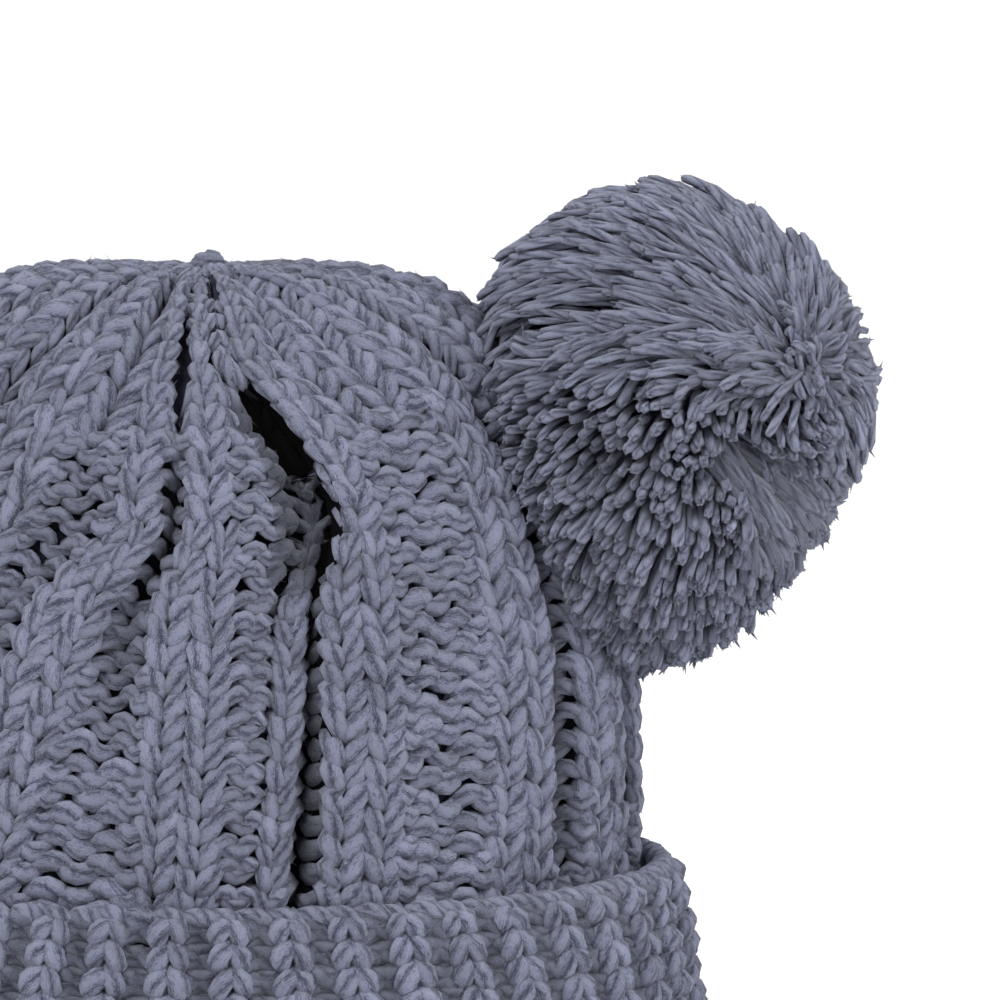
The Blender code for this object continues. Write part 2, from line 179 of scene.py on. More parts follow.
# A rib of the crown: its angle in degrees at four heights, the width of its plain pair,
# the depth of the furrow after it, and how far its crest sinks at the four heights.
Rib = namedtuple(
    "Rib", "at_cuff at_low at_middle at_top width fold sunk_cuff sunk_low sunk_middle sunk_top"
)
RIB_HEIGHTS = [0.24, 0.52, 0.60, 0.78]
CROWN_RIBS = [
    Rib(-3.5, -1.5, 1.5, -0.5, 1.00, 0.35, 0.0, 0.0, 0.0, 0.0),
    Rib(8.5, 12.6, 18.5, 4.0, 0.42, 1.85, 0.3, 0.5, 1.3, 1.3),
    Rib(20.3, 22.2, 24.6, 10.0, 1.00, 0.90, 0.0, 0.0, 0.0, 0.0),
    Rib(45.0, 48.0, 49.5, 42.0, 1.00, 1.00, 0.0, 0.0, 0.0, 0.0),
    Rib(67.0, 67.5, 65.5, 60.0, 1.00, 1.00, 0.0, 0.0, 0.0, 0.0),
    Rib(90.0, 88.5, 87.0, 86.0, 1.00, 1.00, 0.0, 0.0, 0.0, 0.2),
    Rib(108.0, 108.0, 107.5, 107.0, 1.00, 1.00, 0.0, 0.0, 0.0, 0.0),
    Rib(127.0, 126.5, 126.0, 125.0, 1.00, 1.00, 0.0, 0.0, 0.0, 0.2),
    Rib(145.0, 144.5, 144.0, 143.0, 1.00, 1.00, 0.0, 0.0, 0.0, 0.0),
    Rib(161.0, 162.0, 163.0, 162.0, 0.90, 1.30, 0.15, 0.3, 0.5, 0.5),
    Rib(177.0, 178.0, 179.0, 180.0, 1.00, 1.00, 0.0, 0.0, 0.0, 0.0),
    Rib(194.0, 196.0, 197.0, 198.0, 1.00, 1.00, 0.0, 0.0, 0.0, 0.2),
    Rib(211.0, 214.0, 216.0, 216.0, 1.00, 1.00, 0.0, 0.0, 0.0, 0.0),
    Rib(227.0, 231.5, 234.0, 234.0, 1.00, 1.00, 0.0, 0.0, 0.0, 0.2),
    Rib(242.0, 249.0, 252.0, 252.0, 1.00, 1.00, 0.0, 0.0, 0.0, 0.0),
    Rib(257.0, 266.0, 270.0, 271.0, 1.00, 1.00, 0.0, 0.0, 0.0, 0.2),
    Rib(273.0, 284.0, 289.0, 292.0, 1.00, 1.00, 0.0, 0.0, 0.0, 0.0),
    Rib(291.0, 302.5, 308.5, 314.0, 1.00, 0.60, 0.0, 0.0, 0.0, 0.0),
    Rib(310.0, 321.0, 328.0, 334.0, 1.00, 0.60, 0.0, 0.0, 0.1, 0.0),
    Rib(330.0, 341.5, 349.5, 352.0, 1.00, 0.80, 0.0, 0.0, 0.2, 0.0),
]
RIB_COUNT = len(CROWN_RIBS)
RIB_NUMBERS = {name: np.array([getattr(rib, name) for rib in CROWN_RIBS]) for name in Rib._fields}

# A swelling or hollow of the pompom's form, round one direction
Lobe = namedtuple("Lobe", "x y z share sharpness")
POMPOM_LOBES = [
    Lobe(0.75, -0.10, -0.65, -0.190, 2.5),
    Lobe(-0.62, -0.30, 0.72, 0.085, 4.0),
    Lobe(0.98, -0.15, 0.10, 0.025, 8.0),
    Lobe(0.92, -0.25, 0.30, 0.035, 6.0),
    Lobe(0.10, -0.10, 0.99, 0.020, 5.0),
    Lobe(-0.20, -0.45, -0.87, 0.040, 5.0),
    Lobe(0.15, 0.95, 0.10, -0.040, 3.0),
]

# Where the pompom's strands are combed away from: the whorl above, the end of the parting
# below it, and straight down for the rest
WHORL = (0.65, -0.67, 0.35)
PARTING = (0.20, -0.98, -0.05)
HANGING = (0.50, 0.15, 0.85)

# A hollow between the pompom's strands, round one direction
Dent = namedtuple("Dent", "x y z size depth")
POMPOM_DENTS = [
    Dent(0.21, -0.97, -0.06, 0.12, 0.22),
    Dent(0.40, -0.90, -0.16, 0.11, 0.20),
    Dent(0.59, -0.76, -0.26, 0.10, 0.16),
    Dent(-0.44, -0.89, -0.08, 0.14, 0.16),
    Dent(-0.67, -0.63, 0.38, 0.11, 0.05),
    Dent(0.65, -0.67, 0.35, 0.06, 0.08),
]

# One leg of a plain stitch, from the stitch's foot to its shoulder: stitch widths across,
# rows up, yarn radii out from the face of the fabric, and thickness.
Bow = namedtuple("Bow", "across up out thick")
PLAIN_LEG = [
    Bow(0.03, -0.26, -2.60, 0.58),
    Bow(0.08, 0.00, -1.60, 0.84),
    Bow(0.16, 0.28, -0.98, 1.04),
    Bow(0.25, 0.56, -0.84, 1.10),
    Bow(0.34, 0.85, -1.02, 1.08),
    Bow(0.42, 1.12, -1.65, 0.94),
    Bow(0.465, 1.34, -2.70, 0.70),
]
# The same leg on the cuff, where the stitches are pulled wide
CUFF_LEG = [
    Bow(0.01, -0.22, -2.40, 0.64),
    Bow(0.06, -0.02, -1.30, 0.92),
    Bow(0.15, 0.17, -0.72, 1.10),
    Bow(0.26, 0.37, -0.55, 1.16),
    Bow(0.37, 0.60, -0.78, 1.12),
    Bow(0.45, 0.86, -1.50, 0.98),
    Bow(0.48, 1.10, -2.60, 0.74),
]
# One slanting loop of the cast-on edge, from inside the cuff's top over to its outer face
EDGE_LOOP = [
    Bow(-0.58, -1.05, -2.30, 0.80),
    Bow(-0.46, -0.66, -1.30, 1.00),
    Bow(-0.30, -0.28, -0.90, 1.10),
    Bow(-0.08, 0.10, -0.86, 1.14),
    Bow(0.15, 0.48, -0.92, 1.12),
    Bow(0.36, 0.86, -1.20, 1.02),
    Bow(0.50, 1.22, -2.20, 0.84),
]
# The head of a purled stitch, from side to side. The yarn between two heads is the
# same bow upside down.
PURL_HEAD = [
    Bow(-0.40, -0.40, -2.20, 0.56),
    Bow(-0.30, -0.20, -1.20, 0.88),
    Bow(-0.16, -0.01, -0.72, 1.04),
    Bow(0.00, 0.06, -0.58, 1.10),
    Bow(0.16, -0.01, -0.72, 1.04),
    Bow(0.30, -0.20, -1.20, 0.88),
    Bow(0.40, -0.40, -2.20, 0.56),
]


def smooth_step(value, low, high):
    """0 below low, 1 above high, and a smooth rise between them."""
    share = np.clip((value - low) / (high - low), 0.0, 1.0)
    return share * share * (3.0 - 2.0 * share)


def unit(vectors):
    """The same directions with a length of one."""
    return vectors / np.maximum(np.linalg.norm(vectors, axis=-1, keepdims=True), 1e-12)


def curve_through(values, places):
    """A smooth line through evenly numbered values, read at fractional numbers."""
    ends = [2 * values[0] - values[1]] + list(values) + [2 * values[-1] - values[-2]]
    spread = np.array(ends)
    lower = np.minimum(np.floor(places).astype(int), len(values) - 2)
    part = places - lower
    before, start, stop, after = (spread[lower + step] for step in range(4))
    return 0.5 * (
        2 * start
        + (stop - before) * part
        + (2 * before - 5 * start + 4 * stop - after) * part**2
        + (3 * start - before - 3 * stop + after) * part**3
    )


def profile(reach, line):
    """Distances from the axis, heights, shares of length and the length, up one side of the crown."""
    places = np.linspace(0.0, len(line) - 1.0, 240)
    reaches = reach * curve_through([bend.reach for bend in line], places)
    heights = CROWN_HEIGHT * curve_through([bend.height for bend in line], places)
    heights = heights - heights[0] + CUFF_FOLD_HEIGHT
    heights *= CROWN_HEIGHT / heights[-1]
    reaches[-1] = 0.0
    reaches += CUFF_FLARE * np.clip(1.0 - heights / CUFF_HEIGHT, 0.0, 1.0) ** CUFF_FLARE_CURVE
    steps = np.hypot(np.diff(reaches), np.diff(heights))
    lengths = np.concatenate([[0.0], np.cumsum(steps)])
    return reaches, heights, lengths / lengths[-1], lengths[-1]


SIDE = profile(CROWN_HALF_WIDTH, SIDE_LINE)
FRONT = profile(CROWN_HALF_DEPTH, FRONT_LINE)


def bare_point(angle, share):
    """Points on the crown without its ribs: angle round it and share of the way up it."""
    side_reach = np.interp(share, SIDE[2], SIDE[0])
    side_height = np.interp(share, SIDE[2], SIDE[1])
    front_reach = np.interp(share, FRONT[2], FRONT[0])
    front_height = np.interp(share, FRONT[2], FRONT[1])
    across = side_reach * np.sin(angle)
    along = front_reach * np.cos(angle)
    height = front_height * np.cos(angle) ** 2 + side_height * np.sin(angle) ** 2
    height = height - GATHER_DIMPLE * np.exp(-((np.hypot(across, along) / (2.0 * GATHER_RADIUS)) ** 2))
    return np.stack([across, -along, height], axis=-1)


def bare_normal(angle, share):
    """The outward directions at those points."""
    step = 2e-3
    low = np.maximum(share - step, 0.0)
    high = np.minimum(share + step, 0.995)
    around = bare_point(angle + step, share) - bare_point(angle - step, share)
    return unit(np.cross(around, bare_point(angle, high) - bare_point(angle, low)))


def arc_speed(angle, share):
    """Metres along the crown for each radian round it."""
    side_reach = np.interp(share, SIDE[2], SIDE[0])
    front_reach = np.interp(share, FRONT[2], FRONT[0])
    return np.maximum(np.hypot(side_reach * np.cos(angle), front_reach * np.sin(angle)), 1e-4)


def four_point(kind, index, share):
    """A rib's four table columns of one kind, read at this share of the way up."""
    cuff, low, middle, top = (RIB_NUMBERS[kind + end][index] for end in ("cuff", "low", "middle", "top"))
    steps = [(share - start) / (stop - start) for start, stop in zip(RIB_HEIGHTS, RIB_HEIGHTS[1:])]
    first, second, third = (np.clip(step, 0.0, 1.0) for step in steps)
    return cuff + (low - cuff) * first + (middle - low) * second + (top - middle) * third**RIB_TOP_CURVE


def rib_middle(index, share):
    """Angle of the middle of a rib."""
    return np.radians(four_point("at_", index, share))


def gap_after(index, share):
    """Angle from a rib's middle to the next one's."""
    following = rib_middle((index + 1) % RIB_COUNT, share)
    return (following - rib_middle(index, share)) % math.tau


def pair_room(index, other, gap, fold):
    """The most angle half of a rib's pair takes of the gap to a neighbour: more at a deep fold."""
    share = WIDEST_PAIRS_SHARE + FOLD_CLOSING * np.maximum(fold - 1.0, 0.0)
    width = RIB_NUMBERS["width"][index]
    return gap * share * width / (width + RIB_NUMBERS["width"][other])


def half_pair(index, share):
    """Half of a rib's plain pair, as an angle."""
    before = (index - 1) % RIB_COUNT
    after = (index + 1) % RIB_COUNT
    fold = RIB_NUMBERS["fold"]
    speed = arc_speed(rib_middle(index, share), share)
    room = pair_room(index, after, gap_after(index, share), fold[index])
    room = np.minimum(room, pair_room(index, before, gap_after(before, share), fold[before]))
    width = PLAIN_PAIR_WIDTH * RIB_NUMBERS["width"][index]
    return np.minimum(0.5 * width / speed, room)


def rib_sink(index, share):
    """How far a rib's crest lies below the crown's outer form."""
    closed = smooth_step(share, FOLD_END - 0.03, FOLD_END + 0.02)
    return DEEPEST_FURROW * four_point("sunk_", index, share) * (1.0 - closed)


def crown_layout(column, share):
    """Angle round the crown and drop below its outer form.

    Columns count stitches from the middle of the front rib, four to a rib: one plain,
    two purled and one plain.
    """
    index = np.floor(column / 4.0).astype(int) % RIB_COUNT
    following = (index + 1) % RIB_COUNT
    place = column % 4.0
    middle = rib_middle(index, share)
    gap = gap_after(index, share)
    half = half_pair(index, share)
    next_half = half_pair(following, share)
    furrow = gap - half - next_half
    speed = arc_speed(middle + 0.5 * gap, share)
    fold = RIB_NUMBERS["fold"][index]
    width = np.minimum(furrow * speed, PURL_PAIR_WIDTH)
    deep = 0.5 * fold * np.sqrt(PURL_PAIR_WIDTH**2 - width**2)
    deep = np.minimum(deep, DEEPEST_FURROW * np.maximum(fold, 1.0))
    end = np.where(fold > 1.0, FOLD_END, PURL_END)
    deep = deep * (1.0 - (1.0 - TOP_RELIEF) * smooth_step(share - end, -0.03, 0.02))
    deep = np.maximum(deep, SHALLOWEST_FURROW)
    through = np.clip((place - 1.0) / 2.0, 0.0, 1.0)
    angle = middle + half * np.clip(place, 0.0, 1.0) + furrow * through
    angle = angle + next_half * np.clip(place - 3.0, 0.0, 1.0)
    sink = rib_sink(index, share) * (1.0 - through) ** 3 + rib_sink(following, share) * through**3
    hollow = 1.0 - np.abs(2.0 * through - 1.0) ** 2.5
    edge = np.minimum(place, 4.0 - place)
    edge = RIB_SHOULDER_DROP * np.clip(edge, 0.0, 1.0) ** 2
    height = bare_point(angle, share)[..., 2]
    strength = smooth_step(height, CUFF_HEIGHT - RELIEF_RUN, CUFF_HEIGHT + RELIEF_RUN)
    strength = strength * (1.0 - smooth_step(share, RELIEF_END_SHARE, 0.985))
    return angle, strength * (np.maximum(hollow * deep, sink) + edge)


def crown_point(column, share):
    """Points on the knitted face of the crown."""
    angle, drop = crown_layout(column, share)
    return bare_point(angle, share) - bare_normal(angle, share) * drop[..., None]


def crown_painted_shade(column, share):
    """Painted shade on the crown's yarn: how light it is, least in its deepest folds and on a rib that has
    sunk into one.
    """
    drop = crown_layout(column, share)[1]
    sunk = rib_sink(np.round(column / 4.0).astype(int) % RIB_COUNT, share)
    deepest = np.maximum(smooth_step(drop, 0.0042, 0.0080), smooth_step(sunk, 0.0026, 0.0055))
    return 1.0 - FURROW_PAINTED_SHADE * smooth_step(drop, 0.0015, 0.0045) - FOLD_PAINTED_SHADE * deepest


def face_frame(point_at, column, row, column_step, row_step):
    """Points of a fabric, its outward directions, and its width for one step of a column."""
    here = point_at(column, row)
    across = point_at(column + column_step, row) - point_at(column - column_step, row)
    up = point_at(column, row + row_step) - point_at(column, row - row_step)
    width = np.linalg.norm(across, axis=-1) / (2.0 * column_step)
    return here, unit(np.cross(across, up)), width


def cuff_painted_shade(repeat, along):
    """Painted shade on the cuff's yarn: how light it is, least between its ribs."""
    hollow = smooth_step(np.abs(repeat - np.round(repeat)), 0.26, 0.5)
    return 1.0 - CUFF_PAINTED_SHADE * hollow * np.interp(along, CUFF_SECTION[3], CUFF_SECTION[2])


def cuff_section():
    """The line round the cuff's section, from its cast-on edge down and under its fold."""
    top = CUFF_HEIGHT
    thin = CUFF_TOP_THICKNESS
    thick = CUFF_THICKNESS
    toe = -KNIT_WALL
    rows = [
        (SEAT_GAP, top - 0.95 * thin, 0.0),
        (SEAT_GAP, top - 0.50 * thin, 0.0),
        (0.30 * thin, top - 0.08 * thin, 0.0),
        (0.66 * thin, top, 0.15),
        (0.93 * thin, top - 0.25 * thin, 0.5),
        (thin + 0.04 * thick, top - 0.60 * thin, 1.0),
        (0.94 * thick, 0.68 * top, 1.0),
        (thick, 0.45 * top, 1.0),
        (thick, 0.22 * top, 1.0),
        (0.90 * thick, 0.08 * top, 0.8),
        (0.55 * thick, 0.0, 0.2),
        (0.5 * toe, 0.0, 0.1),
        (toe, 0.45 * CUFF_FOLD_HEIGHT, 0.0),
        (toe, CUFF_FOLD_HEIGHT, 0.0),
        (toe, CUFF_FOLD_HEIGHT + 0.004, 0.0),
    ]
    places = np.linspace(0.0, len(rows) - 1.0, 300)
    offsets, heights, furrows = (curve_through([row[part] for row in rows], places) for part in range(3))
    steps = np.hypot(np.diff(offsets), np.diff(heights))
    lengths = np.concatenate([[0.0], np.cumsum(steps)])
    return offsets, np.maximum(heights, 0.0), np.clip(furrows, 0.0, 1.0), lengths


CUFF_SECTION = cuff_section()


def cuff_turn():
    """Shares of the way round the cuff's outer face, and the angles at them."""
    angles = np.linspace(0.0, math.tau, 721)
    wide = CROWN_HALF_WIDTH + 0.5 * CUFF_FLARE + CUFF_THICKNESS
    deep = CROWN_HALF_DEPTH + 0.5 * CUFF_FLARE + CUFF_THICKNESS
    steps = np.hypot(wide * np.diff(np.sin(angles)), deep * np.diff(np.cos(angles)))
    lengths = np.concatenate([[0.0], np.cumsum(steps)])
    return lengths / lengths[-1], angles


CUFF_TURN = cuff_turn()


def cuff_point(repeat, along):
    """Points on the face of the cuff.

    A plain rib stands at each whole number round it, and a purled furrow midway. Along
    is in metres from the cuff's inner top edge, over the cast-on edge and down.
    """
    offset, height, furrow = (np.interp(along, CUFF_SECTION[3], CUFF_SECTION[part]) for part in range(3))
    turn = (repeat + CUFF_FIRST_RIB) / CUFF_REPEATS
    spread = np.interp(turn % 1.0, *CUFF_TURN) + math.tau * np.floor(turn)
    down = 1.0 - np.minimum(height / CUFF_HEIGHT, 1.0)
    angle = spread + CUFF_LEAN * down * np.sin(2.0 * spread)
    flare = CUFF_FLARE * np.clip(1.0 - height / CUFF_HEIGHT, 0.0, 1.0) ** CUFF_FLARE_CURVE
    wide = CROWN_HALF_WIDTH + flare
    deep = CROWN_HALF_DEPTH + flare
    hollow = smooth_step(np.abs(repeat - np.round(repeat)), 0.20, 0.5)
    reach = offset - hollow * furrow * CUFF_FURROW
    normal_x = deep * np.sin(angle)
    normal_y = -wide * np.cos(angle)
    size = np.hypot(normal_x, normal_y)
    across = wide * np.sin(angle) + reach * normal_x / size
    along_y = -deep * np.cos(angle) + reach * normal_y / size
    return np.stack([across, along_y, height], axis=-1)


def mesh_piece(name, points, faces, material, strand=None, tone=None):
    """A mesh object from arrays of points and of faces with the same number of corners each."""
    data = bpy.data.meshes.new(name)
    data.vertices.add(len(points))
    data.vertices.foreach_set("co", points.astype(np.float32).ravel())
    corners = np.concatenate([group.ravel() for group in faces])
    sizes = np.concatenate([np.full(len(group), group.shape[1]) for group in faces])
    starts = np.concatenate([[0], np.cumsum(sizes)[:-1]])
    data.loops.add(len(corners))
    data.loops.foreach_set("vertex_index", corners.astype(np.int32))
    data.polygons.add(len(sizes))
    data.polygons.foreach_set("loop_start", starts.astype(np.int32))
    data.polygons.foreach_set("use_smooth", np.ones(len(sizes), dtype=bool))
    data.update(calc_edges=True)
    if strand is not None:
        layer = data.attributes.new("strand", "FLOAT_VECTOR", "POINT")
        layer.data.foreach_set("vector", strand.astype(np.float32).ravel())
    # Painted shade, with a random variation in lightness, goes on the mesh as a per-point attribute that the
    # materials multiply into the colour
    if tone is not None:
        layer = data.attributes.new("tone", "FLOAT", "POINT")
        layer.data.foreach_set("value", tone.astype(np.float32).ravel())
    data.materials.append(material)
    made = bpy.data.objects.new(name, data)
    bpy.context.scene.collection.objects.link(made)
    return made


def grid_faces(rows, columns, closed_rows=False):
    """Quads of a grid whose columns close round, and whose rows may."""
    low = np.arange(rows if closed_rows else rows - 1)[:, None]
    here = np.arange(columns)[None, :]
    there = (here + 1) % columns
    high = (low + 1) % rows
    quads = [low * columns + here, low * columns + there, high * columns + there, high * columns + here]
    corners = [np.broadcast_to(corner, (len(low), columns)) for corner in quads]
    return np.stack(corners, axis=-1).reshape(-1, 4)


def tube_faces(rows, columns):
    """Faces of a grid whose columns close round, with a fan over each end.

    The points that the fans meet in come after the grid's, the one at its first row first.
    """
    here = np.arange(columns)
    there = (here + 1) % columns
    last = (rows - 1) * columns
    first_fan = np.stack([there, here, np.full(columns, rows * columns)], axis=-1)
    last_fan = np.stack([last + here, last + there, np.full(columns, rows * columns + 1)], axis=-1)
    return [grid_faces(rows, columns), first_fan, last_fan]


# Several strands of yarn: points along each, outward directions, radii, their painted shade with a random
# variation in lightness, and where the twist of each one starts
Yarns = namedtuple("Yarns", "paths outward radii tone start")

# A knitted face: its points, its painted shade, a row in its own measure, a full stitch's
# width and the least one in metres, the yarn's radius, and -1 where its rows run down
Fabric = namedtuple("Fabric", "point_at shade row stitch least radius turn")


def joined(groups):
    """Several groups of yarns as one."""
    return Yarns(*(np.concatenate([getattr(group, part) for group in groups]) for part in Yarns._fields))


def yarn_piece(name, yarns, sides, material):
    """Every yarn of a piece as a closed round strand, its direction kept for the material."""
    paths, outward, radii, tone, start = yarns
    count, steps = radii.shape
    tangent = unit(np.gradient(paths, axis=1))
    across = unit(np.cross(tangent, outward))
    lift = np.cross(across, tangent)
    turn = math.pi / 2 + np.arange(sides) * math.tau / sides
    ring = np.cos(turn)[:, None] * across[:, :, None, :] + np.sin(turn)[:, None] * lift[:, :, None, :]
    points = paths[:, :, None, :] + radii[:, :, None, None] * ring
    lengths = np.cumsum(np.linalg.norm(np.diff(paths, axis=1, prepend=paths[:, :1]), axis=-1), axis=1)
    strand = np.empty((count, steps, sides, 3))
    strand[..., 0] = np.cos(turn)
    strand[..., 1] = np.sin(turn)
    strand[..., 2] = (lengths + start[:, None])[:, :, None] * 1000.0
    shade = np.broadcast_to(tone[:, :, None], (count, steps, sides))
    base = np.arange(count)[:, None, None] * steps * sides
    low = base + np.arange(steps - 1)[None, :, None] * sides
    here = np.arange(sides)[None, None, :]
    there = (here + 1) % sides
    corners = [low + here, low + sides + here, low + sides + there, low + there]
    quads = np.stack(corners, axis=-1).reshape(-1, 4)
    rim = np.arange(sides)[None, :]
    first = base[:, :, 0] + rim
    last = base[:, :, 0] + (steps - 1) * sides + rim[:, ::-1]
    strand = strand.reshape(-1, 3)
    return mesh_piece(name, points.reshape(-1, 3), [quads, first, last], material, strand, shade.reshape(-1))


def loose_fibres(name, yarns, count, reach, spread, at_ends, material, random):
    """Fine hairs that stand off the yarns: anywhere along them, or only at their last ends."""
    paths, outward, radii, tone, _ = yarns
    steps = paths.shape[1]
    pick = random.integers(0, len(paths), count)
    place = np.full(count, steps - 1) if at_ends else random.integers(1, steps - 1, count)
    tangent = unit(np.gradient(paths, axis=1))[pick, place]
    lift = outward[pick, place]
    across = unit(np.cross(tangent, lift))
    lift = np.cross(across, tangent)
    turn = random.uniform(0.0, math.tau, count)[:, None]
    if not at_ends:
        turn = math.pi / 2 + random.normal(0.0, 0.9, count)[:, None]
    radial = np.cos(turn) * across + np.sin(turn) * lift
    size = radii[pick, place][:, None]
    root = paths[pick, place] + radial * size * (0.5 if at_ends else 0.92)
    ahead = 1.0 if at_ends else np.where(random.uniform(0.0, 1.0, count) < 0.5, -1.0, 1.0)[:, None]
    heading = unit(ahead * tangent + 0.35 * radial + spread * random.normal(0.0, 1.0, (count, 3)))
    length = reach * np.exp(random.normal(0.0, 0.35, count))[:, None]
    thick = 0.055 * reach if not at_ends else 0.40 * size
    side = unit(np.cross(heading, lift + 0.01))
    other = np.cross(heading, side)
    corners = []
    for corner in range(3):
        angle = corner * math.tau / 3.0
        corners.append(root + thick * (math.cos(angle) * side + math.sin(angle) * other))
    corners.append(root + heading * length)
    points = np.stack(corners, axis=1)
    points[..., 2] = np.maximum(points[..., 2], 0.0001)
    base = 4 * np.arange(count)[:, None]
    faces = np.concatenate([base + corner for corner in ([0, 2, 1], [0, 1, 3], [1, 2, 3], [2, 0, 3])])
    strand = np.zeros((count, 4, 3))
    strand[:, :3, 0] = np.cos(np.arange(3) * math.tau / 3.0)
    strand[:, :3, 1] = np.sin(np.arange(3) * math.tau / 3.0)
    strand[..., 2] = random.uniform(0.0, 40.0, count)[:, None]
    strand[:, 3, 2] += 1000.0 * length[:, 0]
    shade = np.repeat(tone[pick, place] * random.uniform(0.85, 1.45, count), 4)
    return mesh_piece(name, points.reshape(-1, 3), [faces], material, strand.reshape(-1, 3), shade)


def stitch_width(fabric, columns, rows, step):
    """Metres across a stitch that takes this many columns."""
    return step * face_frame(fabric.point_at, columns, rows, 0.3 * step, 0.2 * fabric.row)[2]


def bow_yarns(fabric, rows, columns, step, bow, random, side=1.0, turned=1.0, loose=1.0):
    """Yarns that follow one bow at each stitch.

    rows and columns hold each stitch's place, and step the columns it takes. side and
    turned mirror the bow, and loose is how uneven the stitches are. Stitches drawn too
    close together widen over their neighbours.
    """
    count = len(rows)
    across, up, out, thick = (np.array([getattr(bend, part) for bend in bow]) for part in Bow._fields)
    wander = loose * np.clip(random.normal(0.0, 1.0, (count, 6)), -2.2, 2.2)
    width = stitch_width(fabric, columns, rows, step)
    widened = np.clip(fabric.least / np.maximum(width, 1e-4), 1.0, 3.0)
    lean = 0.05 * wander[:, 4:5] * (up[None, :] - 0.5)
    reach = (step * widened * side)[:, None] * (across[None, :] + 0.018 * wander[:, :1] + lean)
    column = columns[:, None] + reach
    tilt = 0.20 * wander[:, 5:6] * across[None, :]
    row = rows[:, None] + fabric.row * turned * (up[None, :] + 0.065 * wander[:, 1:2] + tilt)
    here, outward, _ = face_frame(fabric.point_at, column, row, 0.1, 0.2 * fabric.row)
    outward = fabric.turn * outward
    radius = fabric.radius * np.clip(width * widened / fabric.stitch, 0.62, 1.06)
    radius = radius * (1.0 + 0.06 * wander[:, 2])
    level = out[None, :] + 0.12 * wander[:, 3:4]
    paths = here + outward * (level * radius[:, None])[..., None]
    radii = radius[:, None] * thick[None, :]
    paths[..., 2] = np.maximum(paths[..., 2], radii + 0.0002)
    # Painted shade: the yarn is darker where it dips below the fabric's face, and it takes the face's painted
    # shade; the rest is a random variation in lightness
    tone = 1.0 + 0.07 * wander[:, 2:3] + 0.22 * np.minimum(out[None, :] + 1.0, 0.0)
    tone = np.clip(tone, 0.2, 1.25) * fabric.shade(column, row)
    return Yarns(paths, outward, radii, tone, random.uniform(0.0, 3.0, count))


def node(tree, kind, **settings):
    """A shader node with its settings."""
    made = tree.nodes.new(kind)
    for key, value in settings.items():
        setattr(made, key, value)
    return made


def wire(tree, source, target):
    """Give an input another node's output, or a number."""
    if isinstance(source, (int, float)):
        target.default_value = source
    else:
        tree.links.new(source, target)


def calculate(tree, operation, first, second=None):
    """The output of a Math node."""
    made = node(tree, "ShaderNodeMath", operation=operation)
    wire(tree, first, made.inputs[0])
    if second is not None:
        wire(tree, second, made.inputs[1])
    return made.outputs[0]


def weighted_sum(tree, parts):
    """The sum of several outputs, each times its weight."""
    total = None
    for output, weight in parts:
        part = calculate(tree, "MULTIPLY", output, weight)
        total = part if total is None else calculate(tree, "ADD", total, part)
    return total


def combined(tree, *parts):
    """A vector of three outputs."""
    made = node(tree, "ShaderNodeCombineXYZ")
    for part, target in zip(parts, made.inputs):
        wire(tree, part, target)
    return made.outputs[0]


def noise(tree, vector, scale, detail, roughness):
    """An even noise from 0 to 1 over a vector."""
    made = node(tree, "ShaderNodeTexNoise")
    wire(tree, scale, made.inputs["Scale"])
    wire(tree, detail, made.inputs["Detail"])
    wire(tree, roughness, made.inputs["Roughness"])
    wire(tree, vector, made.inputs["Vector"])
    return made.outputs["Fac"]


def colour_ramp(tree, factor, stops):
    """A colour between stops, each a place and its colour."""
    made = node(tree, "ShaderNodeValToRGB")
    ramp = made.color_ramp
    while len(ramp.elements) < len(stops):
        ramp.elements.new(0.5)
    for element, (place, colour) in zip(ramp.elements, stops):
        element.position = place
        element.color = (*colour, 1.0)
    wire(tree, factor, made.inputs["Fac"])
    return made.outputs["Color"]


def tinted(tree, colour, shade):
    """The colour darkened or lightened by a number."""
    made = node(tree, "ShaderNodeVectorMath", operation="SCALE")
    wire(tree, colour, made.inputs[0])
    wire(tree, shade, made.inputs["Scale"])
    return made.outputs[0]


def bump(tree, height, strength, distance, shader):
    """Fine relief on the shader, from a height."""
    made = node(tree, "ShaderNodeBump")
    wire(tree, strength, made.inputs["Strength"])
    wire(tree, distance, made.inputs["Distance"])
    wire(tree, height, made.inputs["Height"])
    wire(tree, made.outputs["Normal"], shader.inputs["Normal"])


def fibre_shader(material, roughness, sheen):
    """The material's tree and its Principled shader, set up for matte fibre."""
    material.use_nodes = True
    tree = material.node_tree
    shader = tree.nodes["Principled BSDF"]
    shader.inputs["Roughness"].default_value = roughness
    shader.inputs["Specular IOR Level"].default_value = 0.10
    shader.inputs["Sheen Weight"].default_value = sheen
    shader.inputs["Sheen Roughness"].default_value = 0.45
    shader.inputs["Sheen Tint"].default_value = (0.80, 0.84, 1.0, 1.0)
    return tree, shader


